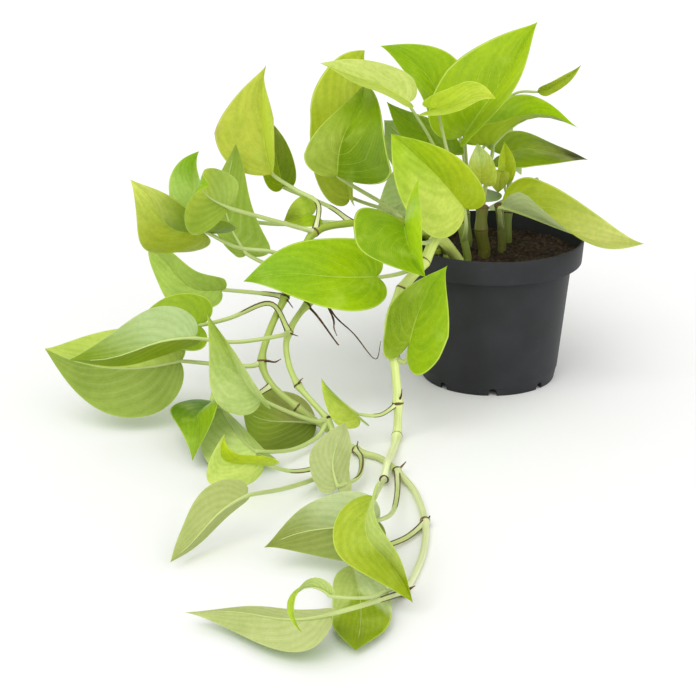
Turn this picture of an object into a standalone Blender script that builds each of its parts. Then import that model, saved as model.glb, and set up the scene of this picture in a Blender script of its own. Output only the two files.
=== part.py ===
# A potted golden pothos: a black nursery pot full of soil, short stems standing in the soil, three
# vines that come over the rim and lie along the surface, and heart-shaped leaves on thin stalks.
# Sizes are millimetres and meshes are built in metres, +Z up. The origin is the centre of the pot's
# foot, on the surface. The viewer stands on the -Y side, with +X to the right.

import math
from typing import NamedTuple

import bmesh
import bpy
from mathutils import Vector

MM = 0.001
GAP = 0.3

# The pot: radii and heights of its turned outline, and its drain slots.
POT_RIM_RADIUS = 60.0
POT_RIM_HEIGHT = 15.5
POT_HEIGHT = 94.8
POT_SHOULDER_RADIUS = 52.4
POT_FOOT_RADIUS = 43.6
POT_FOOT_HEIGHT = 8.0
POT_TAPER_RADIUS = 45.3
POT_WALL = 1.3
POT_FLOOR = 5.0
POT_PAD_RADIUS = 9.0
POT_STEPS = 32
POT_SHOULDER = POT_HEIGHT - POT_RIM_HEIGHT
POT_LEDGE_RADIUS = POT_RIM_RADIUS - 1.2
POT_INNER_FOOT_RADIUS = POT_FOOT_RADIUS + 0.6
SLOT_COUNT = 8
SLOT_WIDTH = 5.2
SLOT_HEIGHT = 4.6
SLOT_INNER_RADIUS = 38.0
SLOT_DEPTH = 12.0
SLOT_ARC_STEPS = 6

# The soil fills the pot to a little below the rim.
SOIL_TOP = 83.0
SOIL_BUMP = 1.1
SOIL_STEPS = 24
SOIL_RINGS = (48.0, 38.0, 28.0, 17.0, 0.0)
STEM_FOOT = 69.0
STEM_HOLE_MARGIN = 0.6

# Blades, and how finely they are divided.
BLADE_THICKNESS = 0.8
BLADE_ROWS = 6
BLADE_COLUMNS = 4

# The margin of a flat leaf of length 1 is two curves, the lobe and the side. These are the middle
# control points: how far the lobe reaches back and out, how far ahead the side's points are between
# the widest place and the tip, how far out they are, and how much a taper draws them in.
LOBE_SHARE = 0.5
LOBE_BACK = (0.24, 0.34)
LOBE_OUT = (0.12, 1.02)
SIDE_AHEAD = (0.525, 0.8)
SIDE_OUT = (0.985, 0.24)
SIDE_TAPER = (0.35, 0.24)
RIB_CROWDING = 2.2

# The midrib's curl starts here, and the margins wave so often along a leaf, from these phases on the
# left-hand and right-hand halves.
CURL_FROM = 0.6
MIDRIB_STEPS = 16
WAVE_TURNS = 2.1
WAVE_PHASES = (1.3, 2.9)

# Stalks: radius at the stem and at the blade, and where the stalk ends under the midrib.
STALK_FOOT_RADIUS = 1.5
STALK_JOINT_RADIUS = 1.15
STALK_RIB_RADIUS = 0.9
STALK_END_RADIUS = 0.6
STALK_GAP = 0.05
STALK_PIECES = 4
STALK_ROUNDING = 0
STALK_RIB_PLACES = ((0, 1.3), (0.12, 0.9), (0.28, 0.5))
STALK_WAY_STEPS = 12
STALK_BOW_SHARE = 0.45
STALK_BOW = 0.06
FOOT_HALVINGS = 8

# Stems and roots: how finely their routes are divided, the swelling at a node, and the blunt ends.
STEM_PIECES = 2
ROUTE_STEPS = 20
NODE_BULGE = 0.7
NODE_REACH = 4.0
STEM_TIP_LENGTH = 0.8
STEM_TIP_SHARE = 0.5
ROOT_TAPER = 0.4

# The view that the plant is laid out in: how far down it looks, from how far off and at what
# point, and its focal length in pixels. Rows below LOW_ROW are drawn in, so that the vines
# that lie on the surface don't run too far toward the viewer.
VIEW_TILT = math.radians(20)
VIEW_DISTANCE = 1200.0
VIEW_AIM = Vector((-93.0, 0.0, 17.0))
VIEW_FOCAL = 1810.0
VIEW_MIDDLE = 348.0
LOW_ROW = 450.0
LOW_SQUEEZE = 0.9
SURFACE_CLEARANCE = 0.3

TO_VIEWER = Vector((0, -math.cos(VIEW_TILT), math.sin(VIEW_TILT)))
VIEW_UP = Vector((0, math.sin(VIEW_TILT), math.cos(VIEW_TILT)))


def sight_line(px, py):
    row = py if py < LOW_ROW else LOW_ROW + (py - LOW_ROW) * LOW_SQUEEZE
    right = Vector((1, 0, 0)) * (px - VIEW_MIDDLE)
    up = VIEW_UP * (VIEW_MIDDLE - row)
    return (right + up - TO_VIEWER * VIEW_FOCAL) / VIEW_FOCAL


# The point seen at a pixel that is `toward` millimetres nearer the viewer than the pot's centre.
def seen(px, py, toward):
    eye = VIEW_AIM + TO_VIEWER * VIEW_DISTANCE
    line = sight_line(px, py)
    return eye + line * ((-toward - eye.y) / line.y)


# The point seen at a pixel that lies `height` millimetres above the surface.
def laid(px, py, height):
    eye = VIEW_AIM + TO_VIEWER * VIEW_DISTANCE
    line = sight_line(px, py)
    return eye + line * ((height - eye.z) / line.z)


def placed(place):
    return place if isinstance(place, Vector) else seen(*place)


class Stem(NamedTuple):
    route: tuple
    foot_radius: float
    end_radius: float
    nodes: tuple
    colour: str = "stem_green"


def standing(x, y):
    return Vector((x, y, STEM_FOOT)), Vector((x, y, SOIL_TOP + 1.5)), Vector((x, y, SOIL_TOP + 5.5))


STEMS = {
    "stem_thick": Stem(
        (*standing(-5, -8), seen(481, 229, 9), seen(482, 207, 8)),
        4.2, 3.6, (3, 4), "stem_brown"),
    "stem_right": Stem(
        (*standing(7, -1), seen(501, 229, 2), seen(499, 205, 3)),
        3.0, 2.4, (4,), "stem_brown"),
    "stem_mid": Stem(
        (*standing(-17, -25), seen(464, 240, 26), seen(460, 222, 27)),
        2.9, 2.3, (4,)),
    "stem_back": Stem(
        (*standing(-14, 14), seen(465, 214, -16), seen(462, 190, -17)),
        3.0, 2.4, (3, 4)),
    "stem_rear": Stem(
        (*standing(13, 24), seen(508, 212, -26), seen(510, 192, -28)),
        2.8, 2.2, (3, 4)),
    "vine_front": Stem(
        (*standing(-24, -31), seen(438, 238, 50), seen(424, 262, 68), seen(402, 290, 86),
         seen(389, 325, 98), seen(394, 356, 106), seen(398, 403, 115), laid(397, 436, 3.2),
         laid(392, 452, 4.5), laid(387, 465, 7.6), laid(384, 483, 3.0)),
        4.0, 1.9, (4, 5, 7, 8, 9, 12)),
    "vine_mid": Stem(
        (*standing(-30, -16), seen(425, 232, 36), seen(384, 252, 44), seen(340, 281, 54),
         seen(307, 305, 66), seen(289, 332, 82), seen(287, 356, 94), seen(298, 385, 106),
         seen(327, 419, 118), laid(335, 442, 4.5), laid(336, 461, 2.6)),
        2.3, 1.6, (4, 6, 7, 9, 10, 12)),
    "vine_long": Stem(
        (*standing(-35, -3), seen(404, 222, 17), seen(352, 223, 31), seen(315, 232, 45),
         seen(299, 262, 60), seen(285, 297, 76), seen(270, 330, 88), seen(262, 361, 97),
         seen(272, 385, 104), seen(297, 407, 111), laid(327, 429, 5.5), laid(356, 450, 3.2),
         laid(380, 459, 2.6), laid(397, 474, 2.6), laid(415, 497, 2.6), laid(425, 530, 2.6),
         laid(424, 560, 2.6), laid(415, 588, 2.6), laid(404, 608, 2.6)),
        2.5, 1.7, (3, 5, 7, 9, 11, 13, 15, 17, 20)),
}


# Aerial roots grow out of the vines: where each starts, counted in points of the route, and its way.
class Root(NamedTuple):
    stem: str
    node: float
    way: tuple
    radius: float = 0.7


ROOTS = (
    Root("vine_mid", 6, ((318, 317, 70), (336, 342, 76), (339, 345, 77)), 0.8),
    Root("vine_mid", 5.5, ((333, 318, 62), (334, 328, 64), (337, 336, 66))),
    Root("vine_mid", 5.5, ((335, 316, 66), (354, 334, 74), (375, 359, 82), (381, 341, 84)), 0.55),
    Root("vine_mid", 7, ((292, 334, 86), (298, 336, 90))),
    Root("vine_mid", 9, ((300, 381, 110), (303, 378, 111))),
    Root("vine_mid", 12, (laid(341, 458, 4), laid(346, 453.5, 5))),
    Root("vine_long", 7, ((288, 301, 80), (293, 308, 84))),
    Root("vine_long", 9, ((268, 361, 101), (275, 362, 103), (281, 359, 104)), 0.9),
    Root("vine_long", 13, (laid(357, 446, 6), laid(358, 441, 8))),
    Root("vine_long", 15, (laid(401, 469, 5), laid(406, 463, 7)), 0.9),
    Root("vine_long", 17, (laid(428, 527, 4), laid(430, 523, 6)), 0.9),
    Root("vine_long", 20, (laid(410, 604, 4), laid(415, 601, 5)), 0.9),
    Root("vine_front", 8, ((401, 396, 118), (402, 389, 119))),
)


# Where a leaf sits and how its blade is shaped. `node` counts the points of the stem's route, and
# joint, tip and way are (column, row, toward). The blade's upper face looks at the viewer and
# is then swung by `turn` degrees, to the right of the way the leaf points. The halves rise by `fold`
# from the midrib and level out by `arch`, the midrib bends by `droop`, and more by `curl` near
# the tip, and the blade twists by `twist`. Widths and waves are millimetres, and `lobe` and `stalk`
# scale how far the lobes reach back and how thick the stalk is. `widest` is the place along the leaf
# where it is widest, `taper` draws its sides in toward the tip, and `skew` widens the left-hand half
# and narrows the other. `bow` and `swerve` bend the midrib sideways, once or in an S.
class Leaf(NamedTuple):
    stem: str
    node: float
    joint: tuple
    tip: tuple
    width: float
    turn: float = 0
    fold: float = 18
    arch: float = -18
    droop: float = 25
    curl: float = 12
    twist: float = 0
    wave: float = 1.0
    lobe: float = 1.0
    widest: float = 0.2
    taper: float = 0.0
    skew: float = 0.0
    bow: float = 0.0
    swerve: float = 0.0
    stalk: float = 1.0
    way: tuple = ()
    colour: str = "leaf_lime"


CROWN_LEAVES = {
    "leaf_crown_tall": Leaf("stem_back", 4, (464.1, 134.7, 4), (537.8, 21.7, -22), 64.4, -45, 38,
        arch=-15, droop=10, curl=6, twist=9, lobe=0.59, widest=0.34, taper=0.41, skew=0.03, bow=-0.05,
        way=((466, 168, -8),)),
    "leaf_crown_young": Leaf("stem_mid", 4, (438, 108.7, 26), (496.2, 99, 38), 27, -44, 32, arch=-22,
        droop=3, curl=8, twist=6, lobe=1.48, widest=0.37, taper=-0.17, skew=-0.11, bow=0.09, swerve=-0.05,
        stalk=0.8, way=((458, 190, 28), (447, 150, 28)), colour="leaf_young"),
    "leaf_crown_long": Leaf("stem_mid", 3.5, (408.8, 101.7, 16), (319.7, 63.1, 14), 43, 55, 22, arch=-15,
        droop=16, curl=9, twist=-3, lobe=0.31, widest=0.24, taper=0.03, skew=-0.02, bow=0.03,
        swerve=-0.03, stalk=0.8, way=((450, 196, 16), (435, 148, 12)), colour="leaf_young"),
    "leaf_crown_left": Leaf("stem_back", 3, (349.6, 198.3, -36), (364.9, 50.3, -62), 44.8, -52, 28,
        arch=-12, droop=69, curl=24, twist=14, wave=2, lobe=0.33, widest=0.5, taper=-0.6, skew=0.25,
        bow=-0.14, way=((412, 215, -28),)),
    "leaf_crown_folded": Leaf("vine_long", 3, (337.4, 175.9, 30), (362.1, 84.6, -16), 58.1, -7, 30,
        arch=-29, droop=56, curl=40, twist=-7, wave=2.4, lobe=0.14, widest=0.12, taper=1.09, skew=-0.27,
        bow=-0.02, swerve=0.04, way=((385, 205, 20),), colour="leaf_deep"),
    "leaf_crown_inner": Leaf("stem_back", 4, (446, 152, -24), (386.5, 101.5, -22), 38, -50, 22, droop=20,
        curl=8, lobe=0.8, widest=0.26, taper=0.3, skew=-0.1, bow=-0.05, colour="leaf_deep"),
    "leaf_crown_back": Leaf("stem_back", 3.6, (441.9, 109.2, -36), (380.1, 45.9, -48), 43.3, 24, 29,
        arch=-13, droop=26, curl=15, twist=3, widest=0.18, taper=0.14, skew=-0.08, bow=-0.12,
        swerve=-0.02, way=((452, 160, -34),), colour="leaf_deep"),
    "leaf_crown_hanging": Leaf("stem_mid", 3, (464.1, 208.1, 55), (391.1, 133.7, 59), 49.1, -15, 28,
        arch=-15, droop=31, twist=1, lobe=0.48, widest=0.28, taper=-0.17, skew=0.18, bow=-0.04,
        way=((466, 226, 46),)),
    "leaf_crown_heart": Leaf("vine_front", 3, (404.9, 226.2, 88), (425.4, 276.8, 138), 64, 14, 51,
        arch=-14, droop=29, curl=8, twist=13, lobe=1.48, widest=0.32, taper=-0.42, bow=-0.03,
        way=((424, 243, 64), (411, 238, 76))),
    "leaf_crown_wide": Leaf("vine_front", 4, (376.1, 276.7, 66), (243.3, 281.6, 80), 52, 26, 18, arch=-20,
        droop=23, curl=15, twist=-1, lobe=0.38, widest=0.27, taper=0.09, swerve=0.02,
        way=((402, 273, 66),)),
    "leaf_right_narrow": Leaf("stem_back", 3.75, (538.3, 92.4, -50), (581.3, 64.8, -52), 8.9, 21, 31,
        droop=21, curl=13, lobe=0, widest=0.22, taper=-0.15, bow=-0.05, stalk=0.7,
        way=((484, 146, -42), (510, 97, -50)), colour="leaf_young"),
    "leaf_right_tailed": Leaf("stem_thick", 4, (493.4, 143.4, -18), (578.4, 127.8, -34), 49.6, -58, 55,
        arch=-10, droop=21, curl=-13, twist=45, lobe=1.5, widest=0.36, taper=0.6, skew=-0.3, bow=0.23,
        way=((485, 190, 6), (487, 172, 4), (492, 156, -7)), colour="leaf_deep"),
    "leaf_right_dark": Leaf("stem_rear", 4, (505.5, 153.4, -34), (588.3, 160.1, -44), 39.3, -49, 11,
        arch=-19, droop=26, curl=13, twist=-4, wave=2, lobe=0.95, widest=0.17, taper=0.59, skew=-0.05,
        swerve=0.05, way=((508, 172, -30),), colour="leaf_deep"),
    "leaf_right_long": Leaf("stem_right", 3, (501.2, 205.5, 25), (644.6, 243.7, 30), 65.2, -71, 38,
        arch=-7, droop=7, curl=-8, twist=49, lobe=0, widest=0.17, taper=0.31, skew=-0.17, bow=-0.1,
        way=((500, 216, 16),)),
    "leaf_right_upright": Leaf("stem_rear", 3, (502.7, 176.8, -13), (504.3, 141.1, -10), 14.9, 22, 26,
        droop=26, lobe=0.96, widest=0.21, taper=0.06, bow=-0.02, swerve=-0.02, stalk=0.8,
        way=((507, 196, -17),)),
    "leaf_inner_small": Leaf("stem_thick", 3.7, (481, 180, 16), (477, 143, 14), 20, 10, 24, stalk=0.7,
        colour="leaf_young"),
    "leaf_inner_low": Leaf("stem_back", 3, (501, 172, -2), (498, 193, 0), 14, 20, 24, lobe=0.4, stalk=0.7,
        way=((477, 188, -10), (490, 178, -3)), colour="leaf_deep"),
}

LEFT_LEAVES = {
    "leaf_left_upright": Leaf("vine_long", 5, (271.6, 174.8, 22), (266.3, 64.7, -8), 63.3, -41, 44,
        droop=16, curl=9, lobe=0, widest=0.42, taper=0.76, skew=-0.04, bow=0.04,
        way=((318, 204, 36), (296, 190, 28)), colour="leaf_young"),
    "leaf_left_shaded": Leaf("vine_long", 4, (282.7, 187.2, -4), (265.6, 116.2, -14), 22.3, 10, 16,
        droop=24, lobe=0.28, widest=0.29, skew=0.04, way=((328, 206, 16),), colour="leaf_deep"),
    "leaf_left_pale": Leaf("vine_long", 6, (246.8, 253.6, 38), (235.9, 143.7, 30), 31.1, 164, 24,
        arch=-11, droop=21, curl=15, lobe=0.2, widest=0.12, taper=-0.26, skew=0.14, bow=-0.17,
        swerve=-0.02, way=((274, 266, 50),)),
    "leaf_left_cupped": Leaf("vine_long", 5, (229.4, 208.1, 84), (209.5, 186, 112), 42.8, 195, 13,
        arch=-17, droop=66, curl=86, twist=13, lobe=0.1, widest=0.25, taper=-0.05, skew=-0.12, bow=-0.07,
        way=((275, 221, 64),)),
    "leaf_left_bright": Leaf("vine_long", 4.15, (192.4, 207.7, 6), (199.4, 151.1, 0), 32.4, -39, 34,
        droop=27, curl=15, widest=0.25, taper=-0.27, skew=-0.03, bow=0.02, swerve=-0.04,
        way=((320, 222, 18), (276, 224, 8), (222, 217, 4)), colour="leaf_deep"),
    "leaf_left_far": Leaf("vine_long", 6, (202.2, 232.3, 58), (130.2, 179.3, 72), 52.7, -47, 15, arch=-21,
        droop=44, curl=11, twist=3, lobe=1.24, widest=0.24, taper=0.33, skew=0.02, bow=0.06, swerve=0.09,
        way=((272, 252, 62), (236, 247, 60)), colour="leaf_young"),
    "leaf_left_drooping": Leaf("vine_long", 7, (220.9, 290.3, 46), (148.2, 248.4, 14), 29.4, -20, 26,
        arch=-15, droop=44, curl=14, twist=1, lobe=0.29, widest=0.27, taper=-0.34, skew=0.07, bow=0.06,
        swerve=0.06, way=((268, 294, 64),)),
    "leaf_left_hidden": Leaf("vine_mid", 7, (198, 325, 84), (140, 318, 80), 38, 20, 16,
        way=((270, 303, 90), (230, 318, 92)), colour="leaf_deep"),
    "leaf_left_wide": Leaf("vine_mid", 7, (194.9, 336.7, 116), (68.9, 359.8, 126), 41.8, 140, 36,
        arch=-15, droop=15, curl=8, twist=4, lobe=0.22, widest=0.29, taper=0.16, skew=-0.04, bow=-0.06,
        swerve=0.04, way=((278, 336, 98), (235, 342, 110))),
    "leaf_left_broad": Leaf("vine_long", 9, (180.1, 361.8, 88), (44.6, 348.5, 98), 60.2, 198, 16,
        droop=27, curl=15, lobe=0.23, widest=0.31, taper=0.04, skew=-0.02, bow=-0.08,
        way=((250, 366, 98), (215, 364, 92))),
    "leaf_left_small": Leaf("vine_long", 4.5, (312, 215, 28), (284, 221, 34), 26, 20, 36, stalk=0.7,
        colour="leaf_deep"),
}

LOW_LEAVES = {
    "leaf_front_heart": Leaf("vine_front", 7, (409.3, 343.4, 112), (447.7, 265.4, 100), 42.4, -26, 18,
        arch=-23, droop=10, twist=11, lobe=1.42, widest=0.28, taper=0.68, skew=-0.16, bow=0.06,
        way=((405, 362, 112),)),
    "leaf_front_small": Leaf("vine_front", 8, (358.4, 416.1, 127), (321.1, 377.8, 131), 25.1, -52, 44,
        droop=23, curl=11, lobe=0.78, widest=0.21, taper=0.24, skew=-0.05, bow=-0.03, stalk=0.8,
        way=((380, 415, 123),)),
    "leaf_front_yellow": Leaf("vine_front", 12, laid(372.9, 501.7, 44), laid(413, 619.7, 9), 34.3, 35, 30,
        arch=-13, droop=49, curl=8, lobe=0.27, widest=0.21, taper=-0.1, skew=-0.09, bow=-0.06,
        swerve=-0.07, way=(laid(381, 489, 20),), colour="leaf_young"),
    "leaf_low_pointed": Leaf("vine_mid", 10, (260.6, 400.8, 143.5), (206.5, 312.9, 140.5), 42.7, -44, 40,
        arch=-19, droop=16, curl=9, lobe=0.34, widest=0.21, taper=0.39, skew=-0.04, bow=-0.02,
        swerve=0.04, way=((314, 421, 126), (286, 411, 136))),
    "leaf_low_arched": Leaf("vine_long", 10, (222.2, 405, 113.5), (192.4, 462.3, 161), 42.5, 45, 27,
        arch=-19, droop=81, curl=10, twist=-1, lobe=0.84, taper=0.29, skew=0.02, bow=-0.02, swerve=-0.08,
        way=((245, 402, 108),), colour="leaf_deep"),
    "leaf_low_behind": Leaf("vine_mid", 10, laid(256.6, 454.1, 12.5), (211.8, 388.8, 88), 39.8, 223, 22,
        arch=-9, droop=26, lobe=0.44, widest=0.17, taper=0.16, skew=-0.3,
        way=((317, 437, 128), (291, 450, 148))),
    "leaf_low_curled": Leaf("vine_mid", 11.5, laid(263.7, 467.4, 17), (224.7, 434, 203), 31.1, -22, 30,
        arch=-21, droop=39, curl=38, twist=-1, lobe=0.4, widest=0.31, taper=-0.4, skew=0.11, bow=0.25,
        swerve=-0.1, stalk=0.9, way=((322, 467, 172), (294, 474, 182)), colour="leaf_young"),
    "leaf_low_drooping": Leaf("vine_mid", 12, laid(247, 499.2, 27), laid(170.3, 575, 6), 27.9, 142, 39,
        arch=-15, droop=19, curl=8, twist=3, lobe=0.32, widest=0.29, taper=0.04, skew=-0.02, swerve=0.03,
        way=((318, 480, 182), (284, 493, 218))),
    "leaf_low_dark": Leaf("vine_long", 11, (316.4, 424.7, 106), (243, 409, 109), 52, 236, 4, arch=-23,
        droop=22, curl=11, twist=-17, lobe=0, widest=0.5, taper=-0.6, skew=-0.04, bow=-0.03, swerve=0.03,
        colour="leaf_deep"),
    "leaf_low_upright": Leaf("vine_long", 13, (337.2, 490.7, 205), (344.9, 422.4, 190), 23.1, 188, 18,
        arch=-16, droop=28, curl=14, twist=1, lobe=0.7, widest=0.29, taper=-0.58, skew=-0.12, bow=-0.1,
        swerve=-0.02, way=((362, 461, 168), (358, 480, 190))),
    "leaf_end_pale": Leaf("vine_long", 15, laid(377.7, 529.2, 26), laid(264, 558.4, 15), 38.7, 202, 9,
        droop=18, curl=10, twist=-1, lobe=0.29, widest=0.27, taper=0.49, bow=0.06, swerve=-0.02,
        way=(laid(397, 500, 9), laid(392, 520, 18))),
    "leaf_end_folded": Leaf("vine_long", 17, laid(352.5, 578.9, 6.5), laid(355.6, 672.5, 4.5), 28.7, 2, 8,
        arch=-11, droop=-4, curl=-6, twist=-3, lobe=0, widest=0.5, taper=-0.6, skew=0.03, bow=0.04,
        way=(laid(405, 548, 3.2), laid(375, 562, 3.2))),
    "leaf_end_long": Leaf("vine_long", 20, laid(331.8, 634.8, 20), laid(184.7, 630.5, 9), 35.4, 241, 27,
        arch=-19, droop=14, curl=7, twist=-1, lobe=0.08, widest=0.24, taper=0.44, bow=0.03, swerve=-0.04,
        way=(laid(388, 613, 10), laid(364, 622, 22))),
    "leaf_end_ribbon": Leaf("vine_long", 19.5, laid(330, 610, 36), laid(303, 654, 30), 9, 80, 26,
        droop=165, curl=8, lobe=0.2, stalk=0.7, way=(laid(388, 606, 9), laid(366, 614, 28)),
        colour="leaf_young"),
}

# Leaves at the back, which the photograph hides, fill the crown out all round.
BACK_LEAVES = {
    "leaf_back_pale": Leaf("stem_back", 3.2, (426, 156, -56), (384, 120, -72), 40, 185, 12,
        way=(Vector((-24, 34, 122)), Vector((-31, 50, 136)))),
    "leaf_back_top": Leaf("stem_back", 3.4, Vector((-18, 64, 148)), Vector((-22, 104, 186)), 48, 150, 16,
        droop=20, way=(Vector((-15, 40, 128)),)),
    "leaf_back_left": Leaf("stem_back", 3, Vector((-46, 62, 106)), Vector((-76, 104, 76)), 46, 175, 16,
        droop=30, way=(Vector((-30, 38, 116)),)),
    "leaf_back_middle": Leaf("stem_back", 3, Vector((-12, 62, 112)), Vector((-18, 112, 80)), 50, 180, 16,
        droop=30, way=(Vector((-12, 40, 118)),)),
    "leaf_back_right": Leaf("stem_rear", 3, Vector((21, 64, 104)), Vector((33, 110, 72)), 40, 190, 16,
        droop=30, way=(Vector((18, 42, 107)),)),
    "leaf_back_high": Leaf("stem_rear", 4, Vector((12, 68, 132)), Vector((22, 112, 142)), 40, 200, 16,
        way=(Vector((15, 48, 126)),)),
}

ALL_LEAVES = CROWN_LEAVES | LEFT_LEAVES | LOW_LEAVES | BACK_LEAVES


def smooth_curve(points, pieces):
    ends = [2 * points[0] - points[1]] + list(points) + [2 * points[-1] - points[-2]]
    curve = []
    for before, start, stop, after in zip(ends, ends[1:], ends[2:], ends[3:]):
        for step in range(pieces):
            t = step / pieces
            curve.append(0.5 * (
                2 * start + (stop - before) * t
                + (2 * before - 5 * start + 4 * stop - after) * t * t
                + (3 * start - before - 3 * stop + after) * t ** 3))
    return curve + [points[-1]]


def clear_scene():
    for obj in list(bpy.data.objects):
        bpy.data.objects.remove(obj)


def material(name, colour, roughness):
    made = bpy.data.materials.get(name) or bpy.data.materials.new(name)
    made.use_nodes = True
    shader = made.node_tree.nodes["Principled BSDF"]
    shader.inputs["Base Color"].default_value = (*colour, 1)
    shader.inputs["Roughness"].default_value = roughness
    shader.inputs["Metallic"].default_value = 0
    return made


COLOURS = {
    "pot_black": ((0.022, 0.023, 0.026), 0.45),
    "soil_brown": ((0.035, 0.022, 0.014), 0.95),
    "stem_green": ((0.42, 0.58, 0.13), 0.5),
    "stem_brown": ((0.13, 0.13, 0.035), 0.6),
    "leaf_lime": ((0.36, 0.60, 0.03), 0.42),
    "leaf_deep": ((0.20, 0.42, 0.01), 0.42),
    "leaf_young": ((0.48, 0.68, 0.06), 0.42),
}


def node_from(name, mesh, colour):
    obj = bpy.data.objects.new(name, mesh)
    bpy.context.scene.collection.objects.link(obj)
    mesh.materials.clear()
    mesh.materials.append(material(colour, *COLOURS[colour]))
    mesh.shade_smooth()
    mesh.set_sharp_from_angle(angle=math.radians(40))
    return obj


def mesh_of(obj):
    bpy.context.view_layer.update()
    graph = bpy.context.evaluated_depsgraph_get()
    return bpy.data.meshes.new_from_object(obj.evaluated_get(graph), depsgraph=graph)


# Joins a helper to an object, or cuts it out of it, and removes the helper.
def combine(obj, helper, operation):
    modifier = obj.modifiers.new(operation.title(), "BOOLEAN")
    modifier.operation = operation
    modifier.object = helper
    modifier.solver = "EXACT"
    obj.data = mesh_of(obj)
    obj.modifiers.clear()
    bpy.data.objects.remove(helper)


def helper_from(mesh):
    helper = bpy.data.objects.new("helper", mesh)
    bpy.context.scene.collection.objects.link(helper)
    helper.hide_render = True
    helper.display_type = "WIRE"
    return helper


# A closed round tube along a line of points, as a curve with a bevel and filled caps.
def tube_mesh(points, radii, resolution):
    curve = bpy.data.curves.new("tube", "CURVE")
    curve.dimensions = "3D"
    curve.bevel_depth = MM
    curve.bevel_resolution = resolution
    curve.use_fill_caps = True
    spline = curve.splines.new("POLY")
    spline.points.add(len(points) - 1)
    for target, point, radius in zip(spline.points, points, radii):
        target.co = (*point * MM, 1)
        target.radius = radius
    guide = helper_from(curve)
    mesh = mesh_of(guide)
    bpy.data.objects.remove(guide)
    shape = bmesh.new()
    shape.from_mesh(mesh)
    bmesh.ops.remove_doubles(shape, verts=shape.verts, dist=1e-6)
    bmesh.ops.triangulate(shape, faces=shape.faces)
    bmesh.ops.recalc_face_normals(shape, faces=shape.faces)
    shape.to_mesh(mesh)
    shape.free()
    return mesh


def stem_line(stem):
    return smooth_curve(stem.route, STEM_PIECES)


def route_point(stem, node):
    return smooth_curve(stem.route, ROUTE_STEPS)[round(node * ROUTE_STEPS)]


def stem_radii(stem):
    line = stem_line(stem)
    joints = [line[node * STEM_PIECES] for node in stem.nodes]
    radii = []
    for number, point in enumerate(line):
        taper = number / (len(line) - 1)
        near = min((point - joint).length for joint in joints)
        bulge = NODE_BULGE * math.exp(-(near / NODE_REACH) ** 2)
        radii.append(stem.foot_radius + (stem.end_radius - stem.foot_radius) * taper + bulge)
    return radii


def above_surface(points, radii):
    for point, radius in zip(points, radii):
        point.z = max(point.z, radius + SURFACE_CLEARANCE)
    return points


def make_stem(name):
    stem = STEMS[name]
    radii = stem_radii(stem)
    line = above_surface(stem_line(stem), radii)
    line.append(line[-1] + (line[-1] - line[-2]).normalized() * radii[-1] * STEM_TIP_LENGTH)
    radii.append(radii[-1] * STEM_TIP_SHARE)
    obj = node_from(name, tube_mesh(line, radii, 1), stem.colour)
    for root in ROOTS:
        if root.stem == name:
            start = route_point(stem, root.node)
            line = smooth_curve([start, *(placed(place) for place in root.way)], STEM_PIECES)
            sizes = [root.radius * (1 - ROOT_TAPER * step / (len(line) - 1)) for step in range(len(line))]
            combine(obj, helper_from(tube_mesh(above_surface(line, sizes), sizes, 0)), "UNION")
    return obj


def bezier(a, b, c, d, t):
    u = 1 - t
    return a * u ** 3 + 3 * b * t * u * u + 3 * c * t * t * u + d * t ** 3


# The margin of a flat leaf of length 1, from the notch at the stalk (0) to the tip (1): a lobe that
# reaches back past the stalk, then the side that runs out to a drawn-out tip.
def margin(t, half_width, leaf):
    if t < LOBE_SHARE:
        u = t / LOBE_SHARE
        back = [-reach * leaf.lobe for reach in LOBE_BACK]
        return bezier(0, *back, leaf.widest, u), half_width * bezier(0, *LOBE_OUT, 1, u)
    u = (t - LOBE_SHARE) / (1 - LOBE_SHARE)
    ahead = [leaf.widest + reach * (1 - leaf.widest) for reach in SIDE_AHEAD]
    out = [reach - drawn * leaf.taper for reach, drawn in zip(SIDE_OUT, SIDE_TAPER)]
    return bezier(leaf.widest, *ahead, 1, u), half_width * bezier(1, *out, 0, u)


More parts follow.
